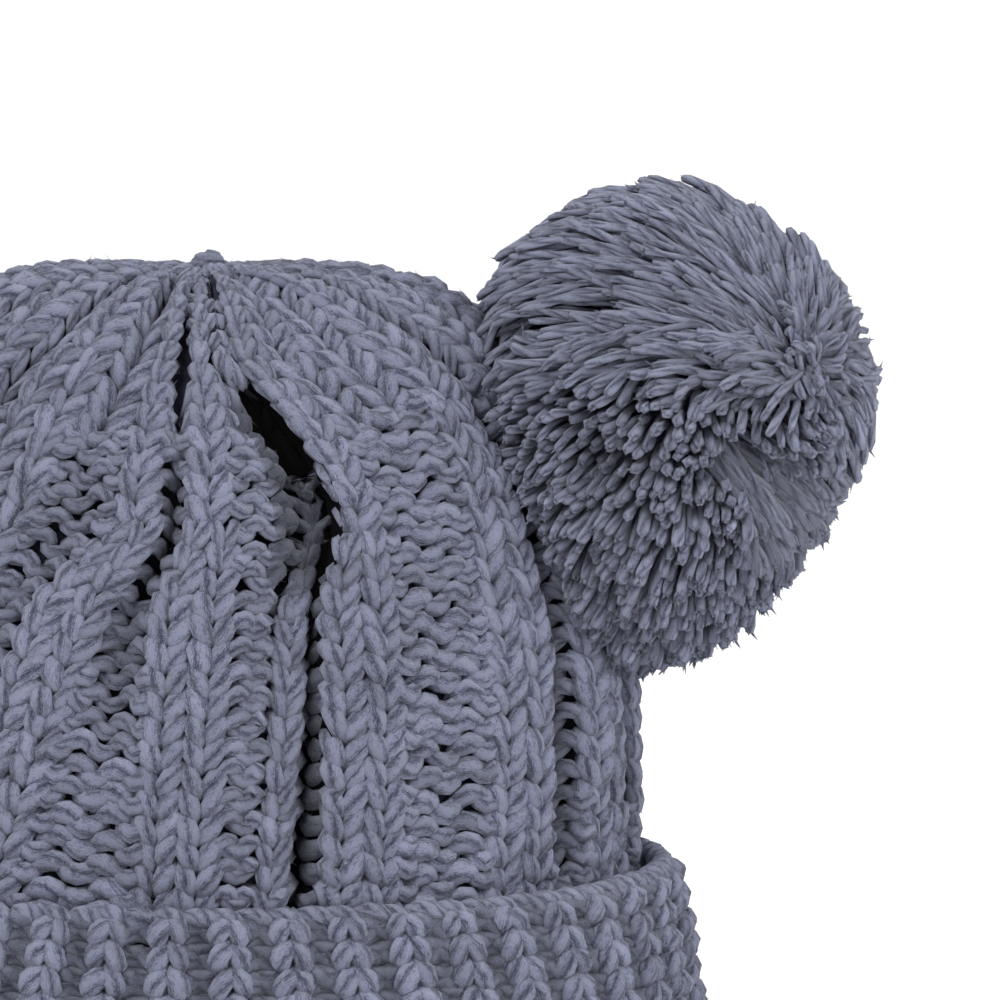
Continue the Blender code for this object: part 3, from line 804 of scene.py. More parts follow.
def spun_yarn_material(name, colours, plies, twist, depth, sheen):
    """Twisted plies of loose fibre, followed along each strand by its own direction."""
    material = bpy.data.materials.new(name)
    tree, shader = fibre_shader(material, 0.92, sheen)
    shadow, middle, light = colours
    strand = node(tree, "ShaderNodeAttribute", attribute_name="strand")
    parts = node(tree, "ShaderNodeSeparateXYZ")
    wire(tree, strand.outputs["Vector"], parts.inputs[0])
    angle = calculate(tree, "ARCTAN2", parts.outputs[1], parts.outputs[0])
    phase = calculate(tree, "ADD", angle, calculate(tree, "MULTIPLY", parts.outputs[2], twist))
    ply = calculate(tree, "COSINE", calculate(tree, "MULTIPLY", phase, float(plies)))
    ply = calculate(tree, "ADD", calculate(tree, "MULTIPLY", ply, 0.5), 0.5)
    ply = calculate(tree, "POWER", ply, 0.45)
    around = calculate(tree, "MULTIPLY", calculate(tree, "COSINE", phase), 2.0)
    about = calculate(tree, "MULTIPLY", calculate(tree, "SINE", phase), 2.0)
    along = calculate(tree, "MULTIPLY", parts.outputs[2], 0.42)
    fibre = noise(tree, combined(tree, around, about, along), 4.2, 4.0, 0.68)
    faster = calculate(tree, "MULTIPLY", along, 1.6)
    fine = noise(tree, combined(tree, around, about, faster), 11.0, 2.0, 0.6)
    place = node(tree, "ShaderNodeTexCoord")
    mottle = noise(tree, place.outputs["Object"], 260.0, 3.0, 0.6)
    patch = noise(tree, place.outputs["Object"], 36.0, 2.0, 0.5)
    # The ply term darkens the valleys between the plies: painted shade; the fibre and mottle noise is the
    # yarn's own streaky colour
    amount = weighted_sum(tree, [(fibre, 0.38), (fine, 0.34), (ply, 0.12), (mottle, 0.20)])
    colour = colour_ramp(tree, amount, [(0.430, shadow), (0.497, middle), (0.568, light)])
    # The colour is multiplied by the mesh's painted shade and by a broad random patch
    tone = node(tree, "ShaderNodeAttribute", attribute_name="tone")
    shade = calculate(tree, "ADD", calculate(tree, "MULTIPLY", patch, 0.30), 0.85)
    shade = calculate(tree, "MULTIPLY", shade, tone.outputs["Fac"])
    wire(tree, tinted(tree, colour, shade), shader.inputs["Base Color"])
    height = weighted_sum(tree, [(fibre, 0.8), (ply, 0.55), (fine, 0.5)])
    bump(tree, height, 0.9, depth, shader)
    return material


def backing_material(name, shadow, middle):
    """The depth of the knitting, seen only between its stitches and inside the hat."""
    material = bpy.data.materials.new(name)
    tree, shader = fibre_shader(material, 1.0, 0.0)
    place = node(tree, "ShaderNodeTexCoord")
    fibre = noise(tree, place.outputs["Object"], 420.0, 4.0, 0.65)
    patch = noise(tree, place.outputs["Object"], 60.0, 2.0, 0.5)
    amount = weighted_sum(tree, [(fibre, 0.7), (patch, 0.3)])
    colour = colour_ramp(tree, amount, [(0.36, shadow), (0.62, middle)])
    # The colour is multiplied by the mesh's painted shade
    tone = node(tree, "ShaderNodeAttribute", attribute_name="tone")
    wire(tree, tinted(tree, colour, tone.outputs["Fac"]), shader.inputs["Base Color"])
    bump(tree, fibre, 0.8, 0.0006, shader)
    return material


def material_once(name, build, *details):
    """The material of this name, built the first time it is asked for."""
    return bpy.data.materials.get(name) or build(name, *details)


def yarn_colours(settings, light=1.0):
    """The yarn's dark, main and light colours."""
    colours = (settings.shadow_colour, settings.yarn_colour, settings.light_colour)
    return [tuple(light * part for part in colour) for colour in colours]


def hat_yarn(settings):
    """The yarn of the crown, the cuff and the knot."""
    return material_once("yarn_spun", spun_yarn_material, yarn_colours(settings), 4, 0.20, 0.00075, 0.30)


def pompom_yarn(settings):
    """The cut yarn of the pompoms."""
    return material_once("pompom_spun", spun_yarn_material, yarn_colours(settings), 3, 0.30, 0.00040, 0.40)


def hat_backing(settings):
    """The depth behind the stitches, in the yarn's colours darkened to seven tenths as painted shade."""
    shadow, middle, _ = yarn_colours(settings, 0.7)
    return material_once("yarn_backing", backing_material, shadow, middle)


def lining_yarn(settings):
    """The wrong side of the knitting inside the hat."""
    shadow, middle, _ = yarn_colours(settings)
    return material_once("yarn_lining", backing_material, shadow, middle)


def keep_piece(made, slot, *replaced):
    """The piece rides on the hat and stands for the nodes it replaces; the slot is not used."""
    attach(made, "root")
    if replaced:
        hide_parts(*replaced)


def crown_rows(settings):
    """Shares of the way up for the foot of each row of the crown, and the share of one row."""
    step = settings.row_height / FRONT[3]
    low = np.interp(CUFF_HEIGHT - ROWS_BEHIND_CUFF, FRONT[1], FRONT[2])
    count = int((ROWS_END - low) / step)
    return low + step * np.arange(count), step


class BabyHatYarnSettings(bpy.types.PropertyGroup):
    """The yarn and the size of its stitches."""

    yarn_radius: FloatProperty(
        name="Yarn Radius", description="Half the thickness of the yarn", default=0.00205, unit="LENGTH"
    )
    row_height: FloatProperty(
        name="Row Height", description="Height of one row of the crown", default=0.00455, unit="LENGTH"
    )
    cuff_row_height: FloatProperty(
        name="Cuff Row Height", description="Height of one row of the cuff", default=0.00474, unit="LENGTH"
    )
    yarn_colour: FloatVectorProperty(
        name="Yarn Colour",
        description="Main colour of the yarn",
        subtype="COLOR",
        default=(0.058, 0.063, 0.099),
    )
    shadow_colour: FloatVectorProperty(
        name="Dark Fibre Colour",
        description="Colour between the fibres",
        subtype="COLOR",
        default=(0.018, 0.020, 0.034),
    )
    light_colour: FloatVectorProperty(
        name="Light Fibre Colour",
        description="Colour of the lightest fibres",
        subtype="COLOR",
        default=(0.176, 0.188, 0.262),
    )
    seed: IntProperty(name="Seed", description="Start of the small irregularities", default=11, min=0)


class BabyHatPompomSettings(bpy.types.PropertyGroup):
    """The cut yarn of the pompoms."""

    strands: IntProperty(
        name="Strands",
        description="Cut strands in each pompom, with those the crown hides",
        default=3750,
        min=100,
    )
    strand_radius: FloatProperty(
        name="Strand Radius", description="Half the thickness of a cut strand", default=0.00102, unit="LENGTH"
    )
    combed: FloatProperty(
        name="Combed Angle",
        description="How far strands lie over on the upper half",
        default=0.98,
        subtype="ANGLE",
    )
    core_share: FloatProperty(
        name="Core",
        description="Share of the pompom filled behind its strands",
        default=0.76,
        min=0.3,
        max=0.95,
    )


class BabyHatStageSettings(bpy.types.PropertyGroup):
    """The camera and lights."""

    distance: FloatProperty(
        name="Camera Distance", description="From the camera to the hat", default=1.0, unit="LENGTH"
    )
    elevation: FloatProperty(
        name="Camera Elevation",
        description="How far the camera looks down",
        default=math.radians(7.0),
        subtype="ANGLE",
    )
    view_width: FloatProperty(
        name="View Width", description="Width of the view at the hat", default=0.1932, unit="LENGTH"
    )
    key_power: FloatProperty(
        name="Key Light", description="Power of the main light", default=11.0, unit="POWER"
    )
    fill_power: FloatProperty(
        name="Fill Light", description="Power of the side light", default=5.0, unit="POWER"
    )


class BABYHAT_OT_crown(bpy.types.Operator):
    """Knit the crown in two plain and two purled stitches, over the wall they form"""

    bl_idname = "babyhat.crown"
    bl_label = "Crown"

    def execute(self, context):
        settings = context.scene.baby_hat_yarn
        random = np.random.default_rng(settings.seed)
        rows, step = crown_rows(settings)
        self.make_wall(settings, rows, step)
        stitch = 0.5 * PLAIN_PAIR_WIDTH
        radius = settings.yarn_radius
        fabric = Fabric(crown_point, crown_painted_shade, step, stitch, PLAIN_DRAWN_WIDTH, radius, 1.0)
        yarn = hat_yarn(settings)
        front = [rib for rib in range(RIB_COUNT) if math.cos(rib_middle(rib, 0.4)) > 0.05]
        back = [rib for rib in range(RIB_COUNT) if rib not in front]
        for name, ribs in (("front", front), ("back", back)):
            plain = joined([group for rib in ribs for group in self.plain(fabric, rib, rows, random)])
            keep_piece(yarn_piece("crown_plain_" + name, plain, 6, yarn), "yarn")
            purled = joined([group for rib in ribs for group in self.purled(fabric, rib, rows, random)])
            keep_piece(yarn_piece("crown_purl_" + name, purled, 6, yarn), "yarn")
            for kind, yarns, count in (("plain", plain, 3200), ("purl", purled, 1800)):
                piece = "crown_fibres_" + kind + "_" + name
                keep_piece(loose_fibres(piece, yarns, count, HAIR, HAIR_SPREAD, False, yarn, random), "yarn")
        return {"FINISHED"}

    def plain(self, fabric, rib, rows, random):
        """Both legs of every plain stitch of a rib, and of those after it where nothing is purled.

        Where there is little room, one stitch takes the width of two.
        """
        speed = arc_speed(rib_middle(rib, rows), rows)
        half = half_pair(rib, rows) * speed
        room = gap_after(rib, rows) * speed - half - half_pair((rib + 1) % RIB_COUNT, rows) * speed
        pair = half > RIB_PAIR_HALF
        above = rows > PURL_END
        seen = (rib_sink(rib, rows) < SUNKEN_RIB) | (rows < SUNKEN_RIB_START)
        groups = []
        for column, step, used in (
            (-0.5, 1.0, pair & seen),
            (0.5, 1.0, pair & seen),
            (0.0, 2.0, ~pair & seen & (half > RIB_SINGLE_HALF)),
            (1.5, 1.0, above & (room > PLAIN_PAIR_GAP)),
            (2.5, 1.0, above & (room > PLAIN_PAIR_GAP)),
            (2.0, 2.0, above & (room > PLAIN_SINGLE_GAP) & (room <= PLAIN_PAIR_GAP)),
        ):
            places = np.full(len(rows), (4.0 * rib + column) % (4.0 * RIB_COUNT))
            used = used & ((crown_layout(places, rows)[1] < SUNKEN_PLAIN) | ~above)
            for side in (-1.0, 1.0):
                groups.append(bow_yarns(fabric, rows[used], places[used], step, PLAIN_LEG, random, side))
        return groups

    def purled(self, fabric, rib, rows, random):
        """The heads of the two purled stitches after a rib, and the bows between them."""
        halves = half_pair(rib, rows) + half_pair((rib + 1) % RIB_COUNT, rows)
        room = (gap_after(rib, rows) - halves) * arc_speed(rib_middle(rib, rows), rows)
        purl = rows <= PURL_END + 0.7 * fabric.row
        room = room[purl]
        rows = rows[purl]
        wide = room > PURL_PAIR_GAP
        sides = room > PURL_SIDE_GAP
        slit = np.maximum(rib_sink(rib, rows), rib_sink((rib + 1) % RIB_COUNT, rows)) > SUNKEN_RIB
        fabric = fabric._replace(least=PURL_DRAWN_WIDTH)
        groups = []
        for column, step, lift, turned, seen in (
            (1.5, 1.0, 0.0, 1.0, wide),
            (2.5, 1.0, 0.0, 1.0, wide),
            (2.0, 1.0, 0.5, -1.0, wide),
            (1.08, 0.8, 0.5, -1.0, sides),
            (2.92, 0.8, 0.5, -1.0, sides),
            (1.5, 1.1, 0.0, 1.0, ~wide),
            (2.5, 1.1, 0.5, -1.0, ~wide),
        ):
            places = np.full(len(rows), 4.0 * rib + column)
            used = seen & (stitch_width(fabric, places, rows, step) > PURL_WIDTH)
            used &= (crown_layout(places, rows)[1] < SUNKEN_PURL) | ~slit
            lifted = rows[used] + lift * fabric.row
            places = places[used]
            groups.append(
                bow_yarns(fabric, lifted, places, step, PURL_HEAD, random, turned=turned, loose=1.2)
            )
        return groups

    def outer_face(self, settings, around, step):
        """The wall's face behind the stitches, and the painted shade on it, darkest near the deep folds.

        It lies less deep where the face is steep, so that it never comes out on the inside.
        """
        column, share = np.meshgrid(around, np.linspace(0.004, 0.985, 44))
        here, outward, _ = face_frame(crown_point, column, share, 0.1, 0.2 * step)
        level = np.sum(outward * bare_normal(crown_layout(column, share)[0], share), axis=-1)
        sunk = np.minimum(1.5 * settings.yarn_radius, 0.95 * KNIT_WALL * np.maximum(level, 0.15))
        nearby = [crown_painted_shade(column + aside, share) for aside in (-2.1, -1.4, -0.7, 0.0, 0.7, 1.4, 2.1)]
        outer = here - outward * sunk[..., None]
        outer[0, :, 2] = CUFF_FOLD_HEIGHT
        # Painted shade on the backing: the darkest painted shade of the folds nearby, made darker still, as
        # the backing shows only in the shadowed gaps
        return outer, 0.50 * np.min(nearby, axis=0) ** 1.8

    def inner_face(self, around, rows, step):
        """The inside of the hat, from its top down, with the wrong side of each stitch in relief."""
        column, share = np.meshgrid(around, np.arange(0.93, 0.0, -step / 3.5))
        angle = crown_layout(column, share)[0]
        row = (share - rows[0]) / step
        plain = (np.abs((column + 1.0) % 4.0 - 1.0) < 1.0).astype(float)
        bumps = 0.5 + 0.5 * np.cos(math.tau * (row + 0.5 * np.floor(column)))
        legs = 0.5 + 0.5 * np.cos(math.tau * (row + 0.8 * np.abs(column % 1.0 - 0.5)))
        relief = INSIDE_RELIEF * (plain * bumps + (1.0 - plain) * legs)
        relief *= 0.55 + 0.45 * np.sin(math.pi * (column % 1.0))
        nearby = [crown_layout(column + aside, share)[1] for aside in (-0.6, -0.3, 0.0, 0.3, 0.6)]
        sunk = KNIT_WALL + np.max(nearby, axis=0) + relief - INSIDE_LIFT
        inner = bare_point(angle, share) - bare_normal(angle, share) * sunk[..., None]
        inner[-1, :, 2] = CUFF_FOLD_HEIGHT
        return inner

    def make_wall(self, settings, rows, step):
        """The closed wall behind the stitches, lined with the wrong side of the knitting."""
        columns = 4 * RIB_COUNT * 2
        around = np.arange(columns) / 2.0
        outer, outer_painted_shade = self.outer_face(settings, around, step)
        inner = self.inner_face(around, rows, step)
        rings = np.concatenate([inner, outer])
        lid = np.array([inner[0].mean(axis=0), outer[-1].mean(axis=0)])
        points = np.concatenate([rings.reshape(-1, 3), lid])
        # The inside is left unshaded; the outer face carries painted shade, and its top lid is a little
        # darker
        tone = np.concatenate([np.ones(inner.size // 3), outer_painted_shade.ravel(), [1.0, 0.8]])
        faces = tube_faces(len(rings), columns)
        made = mesh_piece("crown_wall", points, faces, lining_yarn(settings), None, tone)
        made.data.materials.append(hat_backing(settings))
        outside = np.zeros(len(made.data.polygons), dtype=np.int32)
        outside[(len(inner) - 1) * columns : (len(rings) - 1) * columns] = 1
        outside[-columns:] = 1
        made.data.polygons.foreach_set("material_index", outside)
        keep_piece(made, "yarn", "crown")


class BABYHAT_OT_cuff(bpy.types.Operator):
    """Knit the turned-up cuff in one plain and one purled stitch, with its cast-on edge"""

    bl_idname = "babyhat.cuff"
    bl_label = "Cuff"

    def execute(self, context):
        settings = context.scene.baby_hat_yarn
        random = np.random.default_rng(settings.seed + 1)
        yarn = hat_yarn(settings)
        self.make_wall(settings)
        step = settings.cuff_row_height
        fabric = Fabric(cuff_point, cuff_painted_shade, step, 0.0080, 0.0040, settings.yarn_radius, -1.0)
        purl = fabric._replace(stitch=0.0052, radius=0.92 * fabric.radius)
        rows = np.arange(CUFF_FIRST_ROW, CUFF_SECTION[3][-1] - 0.002, step)
        plain = []
        purls = []
        for repeat in range(CUFF_REPEATS):
            places = np.full(len(rows), float(repeat))
            for side in (-1.0, 1.0):
                plain.append(bow_yarns(fabric, rows, places, CUFF_PLAIN_SHARE, CUFF_LEG, random, side))
            places = places + 0.5
            for turned, lift in ((1.0, 0.3), (-1.0, 0.64)):
                heads = bow_yarns(
                    purl, rows + lift * step, places, CUFF_PURL_SHARE, PURL_HEAD, random, turned=turned
                )
                purls.append(heads)
        plain = joined(plain)
        keep_piece(yarn_piece("cuff_plain", plain, 6, yarn), "yarn")
        keep_piece(yarn_piece("cuff_purl", joined(purls), 5, yarn), "yarn")
        keep_piece(loose_fibres("cuff_fibres", plain, 3000, HAIR, HAIR_SPREAD, False, yarn, random), "yarn")
        self.make_edge(fabric, yarn, random)
        return {"FINISHED"}

    def make_edge(self, fabric, yarn, random):
        """The cast-on edge: slanting loops rolled over the cuff's top."""
        count = 2 * CUFF_REPEATS
        places = np.arange(count) * 0.5 + random.normal(0.0, 0.03, count)
        rows = np.full(count, CUFF_EDGE_ROW) + random.normal(0.0, 0.0003, count)
        loops = bow_yarns(fabric, rows, places, CUFF_EDGE_SHARE, EDGE_LOOP, random)
        keep_piece(yarn_piece("cuff_edge", loops, 8, yarn), "yarn")
        hairs = loose_fibres("cuff_edge_fibres", loops, 800, HAIR, HAIR_SPREAD, False, yarn, random)
        keep_piece(hairs, "yarn")

    def make_wall(self, settings):
        """The closed band behind the cuff's stitches."""
        around = np.arange(CUFF_REPEATS * 4) / 4.0
        lengths = np.linspace(0.0, CUFF_SECTION[3][-1], 44)
        repeat, along = np.meshgrid(around, lengths)
        here, inward, _ = face_frame(cuff_point, repeat, along, 0.05, 0.0008)
        sunk = 1.45 * settings.yarn_radius * smooth_step(along, 0.0, 0.006)
        sunk = sunk * (1.0 - smooth_step(along, lengths[-1] - 0.006, lengths[-1]))
        face = here + inward * sunk[..., None]
        seat = here[0].copy()
        seat[:, 2] = CUFF_FOLD_HEIGHT - SEAT_GAP
        face[-1, :, 2] = CUFF_FOLD_HEIGHT - SEAT_GAP
        rings = np.concatenate([face, seat[None]])
        faces = [grid_faces(len(rings), len(around), True)[:, ::-1]]
        # Painted shade: the band behind the stitches is darkened, as it shows only in the shadowed gaps
        # between them
        tone = np.full(rings.size // 3, 0.7)
        made = mesh_piece("cuff_wall", rings.reshape(-1, 3), faces, hat_backing(settings), None, tone)
        keep_piece(made, "yarn", "cuff")


class BABYHAT_OT_gather(bpy.types.Operator):
    """Draw the top together with a ring of loops and a knotted yarn end"""

    bl_idname = "babyhat.gather"
    bl_label = "Gathered Top"

    def execute(self, context):
        settings = context.scene.baby_hat_yarn
        random = np.random.default_rng(settings.seed + 2)
        yarn = hat_yarn(settings)
        seat = KNOT_BOX[0][2]
        loops = self.loops(settings.yarn_radius, seat, random)
        keep_piece(yarn_piece("gather_loops", loops, 8, yarn), "yarn")
        knot = self.knot(settings.yarn_radius, seat)
        keep_piece(yarn_piece("gather_knot_yarn", knot, 8, yarn), "yarn", "gather_knot")
        return {"FINISHED"}

    def loops(self, radius, seat, random):
        """The last row's loops, from the middle outwards."""
        count = 11
        steps = 12
        reach = np.linspace(0.0022, 0.0125, steps)
        arch = np.sin(np.linspace(0.15, math.pi, steps))
        height = seat - 0.0034 + 0.0036 * arch - 0.0012 * np.linspace(0.0, 1.0, steps)
        groups = []
        for loop in range(count):
            heading = math.tau * (loop + random.uniform(-0.2, 0.2)) / count
            sway = 0.0016 * np.sin(np.linspace(0.0, math.pi, steps)) * random.uniform(-1.0, 1.0)
            x = reach * math.sin(heading) + sway * math.cos(heading)
            y = -reach * math.cos(heading) + sway * math.sin(heading)
            groups.append(np.stack([x, y, height], axis=-1))
        paths = np.array(groups)
        radii = np.full(paths.shape[:2], 0.78 * radius)
        radii[:, [0, -1]] *= 0.6
        outward = np.zeros_like(paths)
        outward[..., 2] = 1.0
        tone = np.full(radii.shape, 0.95)
        return Yarns(paths, outward, radii, tone, random.uniform(0.0, 3.0, count))

    def knot(self, radius, seat):
        """The yarn's end, wound up on the middle."""
        turns = np.linspace(0.0, 1.0, 40)
        circle = 2.35 * math.tau * turns
        swirl = 0.0022 * (1.0 - 0.55 * turns)
        x = 0.0012 + swirl * np.cos(circle) * 1.15
        y = -0.0006 + swirl * np.sin(circle)
        path = np.stack([x, y, seat + 0.0002 + 0.0020 * turns**0.8], axis=-1)
        radii = np.full(len(turns), 0.62 * radius)
        radii[[0, -1]] *= 0.5
        outward = np.broadcast_to([0.0, 0.0, 1.0], (1, len(turns), 3))
        return Yarns(path[None], outward, radii[None], np.ones((1, len(turns))), np.zeros(1))


def pompom_swell(direction):
    """How far the pompom's surface stands from its plain form in these directions."""
    swell = np.ones(direction.shape[:-1])
    for lobe in POMPOM_LOBES:
        toward = unit(np.array([lobe.x, lobe.y, lobe.z]))
        swell = swell + lobe.share * np.maximum(direction @ toward, 0.0) ** lobe.sharpness
    return swell


def even_directions(count, random):
    """Directions spread evenly over a sphere, each moved a little."""
    number = np.arange(count) + 0.5
    height = 1.0 - 2.0 * number / count
    turn = number * math.pi * (3.0 - math.sqrt(5.0))
    flat = np.sqrt(1.0 - height**2)
    spread = np.stack([flat * np.cos(turn), flat * np.sin(turn), height], axis=-1)
    return unit(spread + random.normal(0.0, 0.55 / math.sqrt(count), spread.shape))


def slow_waves(points, random):
    """A smooth random vector at each point."""
    moved = np.zeros(points.shape)
    for _ in range(5):
        heading = random.normal(0.0, 1.0, (3, 3))
        phase = random.uniform(0.0, math.tau, 3)
        moved += np.sin(points @ heading + phase)
    return moved / 5.0


def out_of_crown(points, margin):
    """Points moved outwards where they would lie inside the crown, and how deep they lay."""
    height = points[..., 2]
    order = np.argsort(SIDE[1])
    side = np.interp(height, SIDE[1][order], SIDE[0][order])
    front = np.interp(height, FRONT[1], FRONT[0])
    side = np.where(height > CROWN_HEIGHT, 1e-6, side)
    front = np.where(height > CROWN_HEIGHT, 1e-6, front)
    fill = np.hypot(points[..., 0] / np.maximum(side, 1e-6), points[..., 1] / np.maximum(front, 1e-6))
    fill = np.where(height > CROWN_HEIGHT, 9.0, fill)
    wanted = 1.0 + margin / CROWN_HALF_WIDTH
    push = np.where(fill < wanted, wanted / np.maximum(fill, 1e-3), 1.0)
    moved = points.copy()
    moved[..., 0] *= push
    moved[..., 1] *= push
    return moved, fill


class BABYHAT_OT_pompoms(bpy.types.Operator):
    """Fill both pompoms with cut strands of yarn, combed over above and trimmed short below"""

    bl_idname = "babyhat.pompoms"
    bl_label = "Pompoms"

    def execute(self, context):
        yarn_settings = context.scene.baby_hat_yarn
        settings = context.scene.baby_hat_pompoms
        for name, side, seed in (("pompom_right", 1.0, 5), ("pompom_left", -1.0, 6)):
            random = np.random.default_rng(yarn_settings.seed + seed)
            self.make_core(name, side, settings, yarn_settings)
            self.make_strands(name, side, settings, yarn_settings, random)
        return {"FINISHED"}

    def place(self, side, local):
        """Points of a pompom, from its own middle to the hat."""
        moved = local * np.array([side, 1.0, 1.0])
        return moved + np.array([side * POMPOM_REACH, -POMPOM_FORWARD, POMPOM_RISE])

    def make_core(self, name, side, settings, yarn_settings):
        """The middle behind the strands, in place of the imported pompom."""
        rows = 26
        columns = 40
        height = np.cos(np.linspace(0.06, math.pi - 0.06, rows))
        turn = np.arange(columns) * math.tau / columns
        flat = np.sqrt(1.0 - height**2)[:, None]
        level = np.repeat(height[:, None], columns, 1)
        direction = np.stack([flat * np.cos(turn), flat * np.sin(turn), level], axis=-1)
        local = direction * POMPOM_HALF * (settings.core_share * pompom_swell(direction))[..., None]
        points, _ = out_of_crown(self.place(side, local), 0.0008)
        points = points.reshape(-1, 3)
        tips = np.array([points[:columns].mean(axis=0), points[-columns:].mean(axis=0)])
        faces = tube_faces(rows, columns)
        if side > 0:
            faces = [group[:, ::-1] for group in faces]
        # Painted shade: the core is darkened to half, as it shows only in the shadow between the strands
        tone = np.full(len(points) + 2, 0.5)
        points = np.concatenate([points, tips])
        made = mesh_piece(name + "_core", points, faces, hat_backing(yarn_settings), None, tone)
        keep_piece(made, "pompom_yarn", name)

    def combing(self, tips, drift):
        """How much each strand is combed over from the whorl and from the parting, or left hanging."""
        combed = smooth_step(tips[:, 2] + 0.16 * drift[:, 0], 0.06, 0.36)
        outer = smooth_step(tips[:, 0] + 0.10 * drift[:, 1], 0.70, 0.86)
        combed = np.maximum(combed, outer * smooth_step(tips[:, 2], -0.38, -0.05))
        parted = smooth_step(tips[:, 0], 0.22, 0.36) * (1.0 - smooth_step(tips[:, 2], -0.24, -0.10))
        parted = parted * smooth_step(tips[:, 2], -0.82, -0.50) * smooth_step(-tips[:, 1], 0.0, 0.3)
        parted = parted * (1.0 - combed)
        return combed, parted, 1.0 - combed - parted

    def leaning(self, settings, tips, clump, combing, random):
        """The way each strand lies over, and by what angle."""
        combed, parted, hanging = combing
        toward = np.zeros_like(tips)
        for weight, source in zip(combing, (WHORL, PARTING, HANGING)):
            source = unit(np.array(source))
            toward += weight[:, None] * unit(source - (tips @ source)[:, None] * tips)
        toward = unit(toward + 0.30 * clump + 0.12 * random.normal(0.0, 1.0, tips.shape))
        toward = unit(toward - np.sum(toward * tips, axis=-1, keepdims=True) * tips)
        away = np.arccos(np.clip(tips @ unit(np.array(WHORL)), -1.0, 1.0))
        lean = settings.combed * combed * (1.0 - 0.22 * smooth_step(away, 0.8, 1.7))
        lean = lean + 0.78 * parted + 0.14 * hanging
        lean = np.where(combed > 0.5, np.minimum(lean, 0.92 * away + 0.02), lean)
        return toward, lean * random.uniform(0.70, 1.15, len(tips))

    def cut_ends(self, tips, clump, combed, random):
        """How far out each strand's cut end is, as a share of the pompom's form."""
        reach = random.normal(0.962, 0.022, len(tips)) - 0.05 * np.abs(clump[:, 0]) - 0.02 * combed
        reach = reach + 0.02 * smooth_step(-tips[:, 0], 0.45, 0.80) * smooth_step(tips[:, 2], 0.1, 0.4)
        for dent in POMPOM_DENTS:
            off = np.linalg.norm(tips - unit(np.array([dent.x, dent.y, dent.z])), axis=-1)
            reach -= dent.depth * np.exp(-((off / dent.size) ** 2))
        return reach

    def make_strands(self, name, side, settings, yarn_settings, random):
        """The cut strands, each with its cut end, where it lies and the way it was combed."""
        count = settings.strands
        tips = even_directions(count, random)
        clump = slow_waves(tips * 9.0, random)
        tips = unit(tips + 0.070 * clump)
        drift = slow_waves(tips * 4.0, random)
        combing = self.combing(tips, drift)
        combed, parted, _ = combing
        toward, lean = self.leaning(settings, tips, clump, combing, random)
        share = np.array([0.0, 0.35, 0.70, 0.94, 1.0])
        bend = lean[:, None] * (1.0 - share[None, :])
        direction = np.cos(bend)[..., None] * tips[:, None, :] + np.sin(bend)[..., None] * toward[:, None, :]
        curl = slow_waves(tips[:, None, :] * 16.0 + share[None, :, None] * 2.2, random)
        direction = unit(direction + (0.05 + 0.08 * combed)[:, None, None] * curl * share[None, :, None])
        reach = self.cut_ends(tips, clump, combed, random)
        root = 0.62 + 0.16 * combed + 0.08 * parted
        tip = np.maximum(reach, settings.core_share + 0.03)
        rise = 1.0 - 0.50 * combed[:, None] - 0.25 * parted[:, None]
        depth = root[:, None] + (tip - root)[:, None] * share[None, :] ** rise
        local = direction * POMPOM_HALF * (depth * pompom_swell(direction))[..., None]
        paths, fill = out_of_crown(self.place(side, local), 0.0015)
        kept = fill[:, -1] > 0.74
        outward = unit(direction[kept] * np.array([side, 1.0, 1.0]))
        size = settings.strand_radius * random.normal(1.0, 0.10, count) * (1.0 - 0.20 * combed)
        radii = size[kept][:, None] * np.array([0.70, 0.95, 1.08, 1.08, 0.78])
        tone = self.strand_shade_and_tone(share, reach, combed, parted, random)[kept]
        yarns = Yarns(paths[kept], outward, radii, tone, random.uniform(0.0, 3.0, count)[kept])
        finish = pompom_yarn(yarn_settings)
        keep_piece(yarn_piece(name + "_strands", yarns, 4, finish), "pompom_yarn")
        frayed = loose_fibres(name + "_frayed_ends", yarns, 6000, 0.0011, 0.55, True, finish, random)
        keep_piece(frayed, "pompom_yarn")

    def strand_shade_and_tone(self, share, reach, combed, parted, random):
        """How light each strand is along it, with painted shade: least at its root, in the parting and in the
        dents, and a random variation in lightness.
        """
        combed = combed[:, None]
        deep = 0.34 + 0.20 * combed
        tone = deep + (0.97 + 0.04 * combed - deep) * share[None, :] ** (1.8 - 0.8 * combed)
        tone = tone * (random.normal(1.0, 0.12, len(reach)) * (1.0 - 0.22 * parted))[:, None]
        return np.clip(tone, 0.25, 1.3) * np.clip(1.0 - 2.8 * (0.965 - reach), 0.32, 1.05)[:, None]


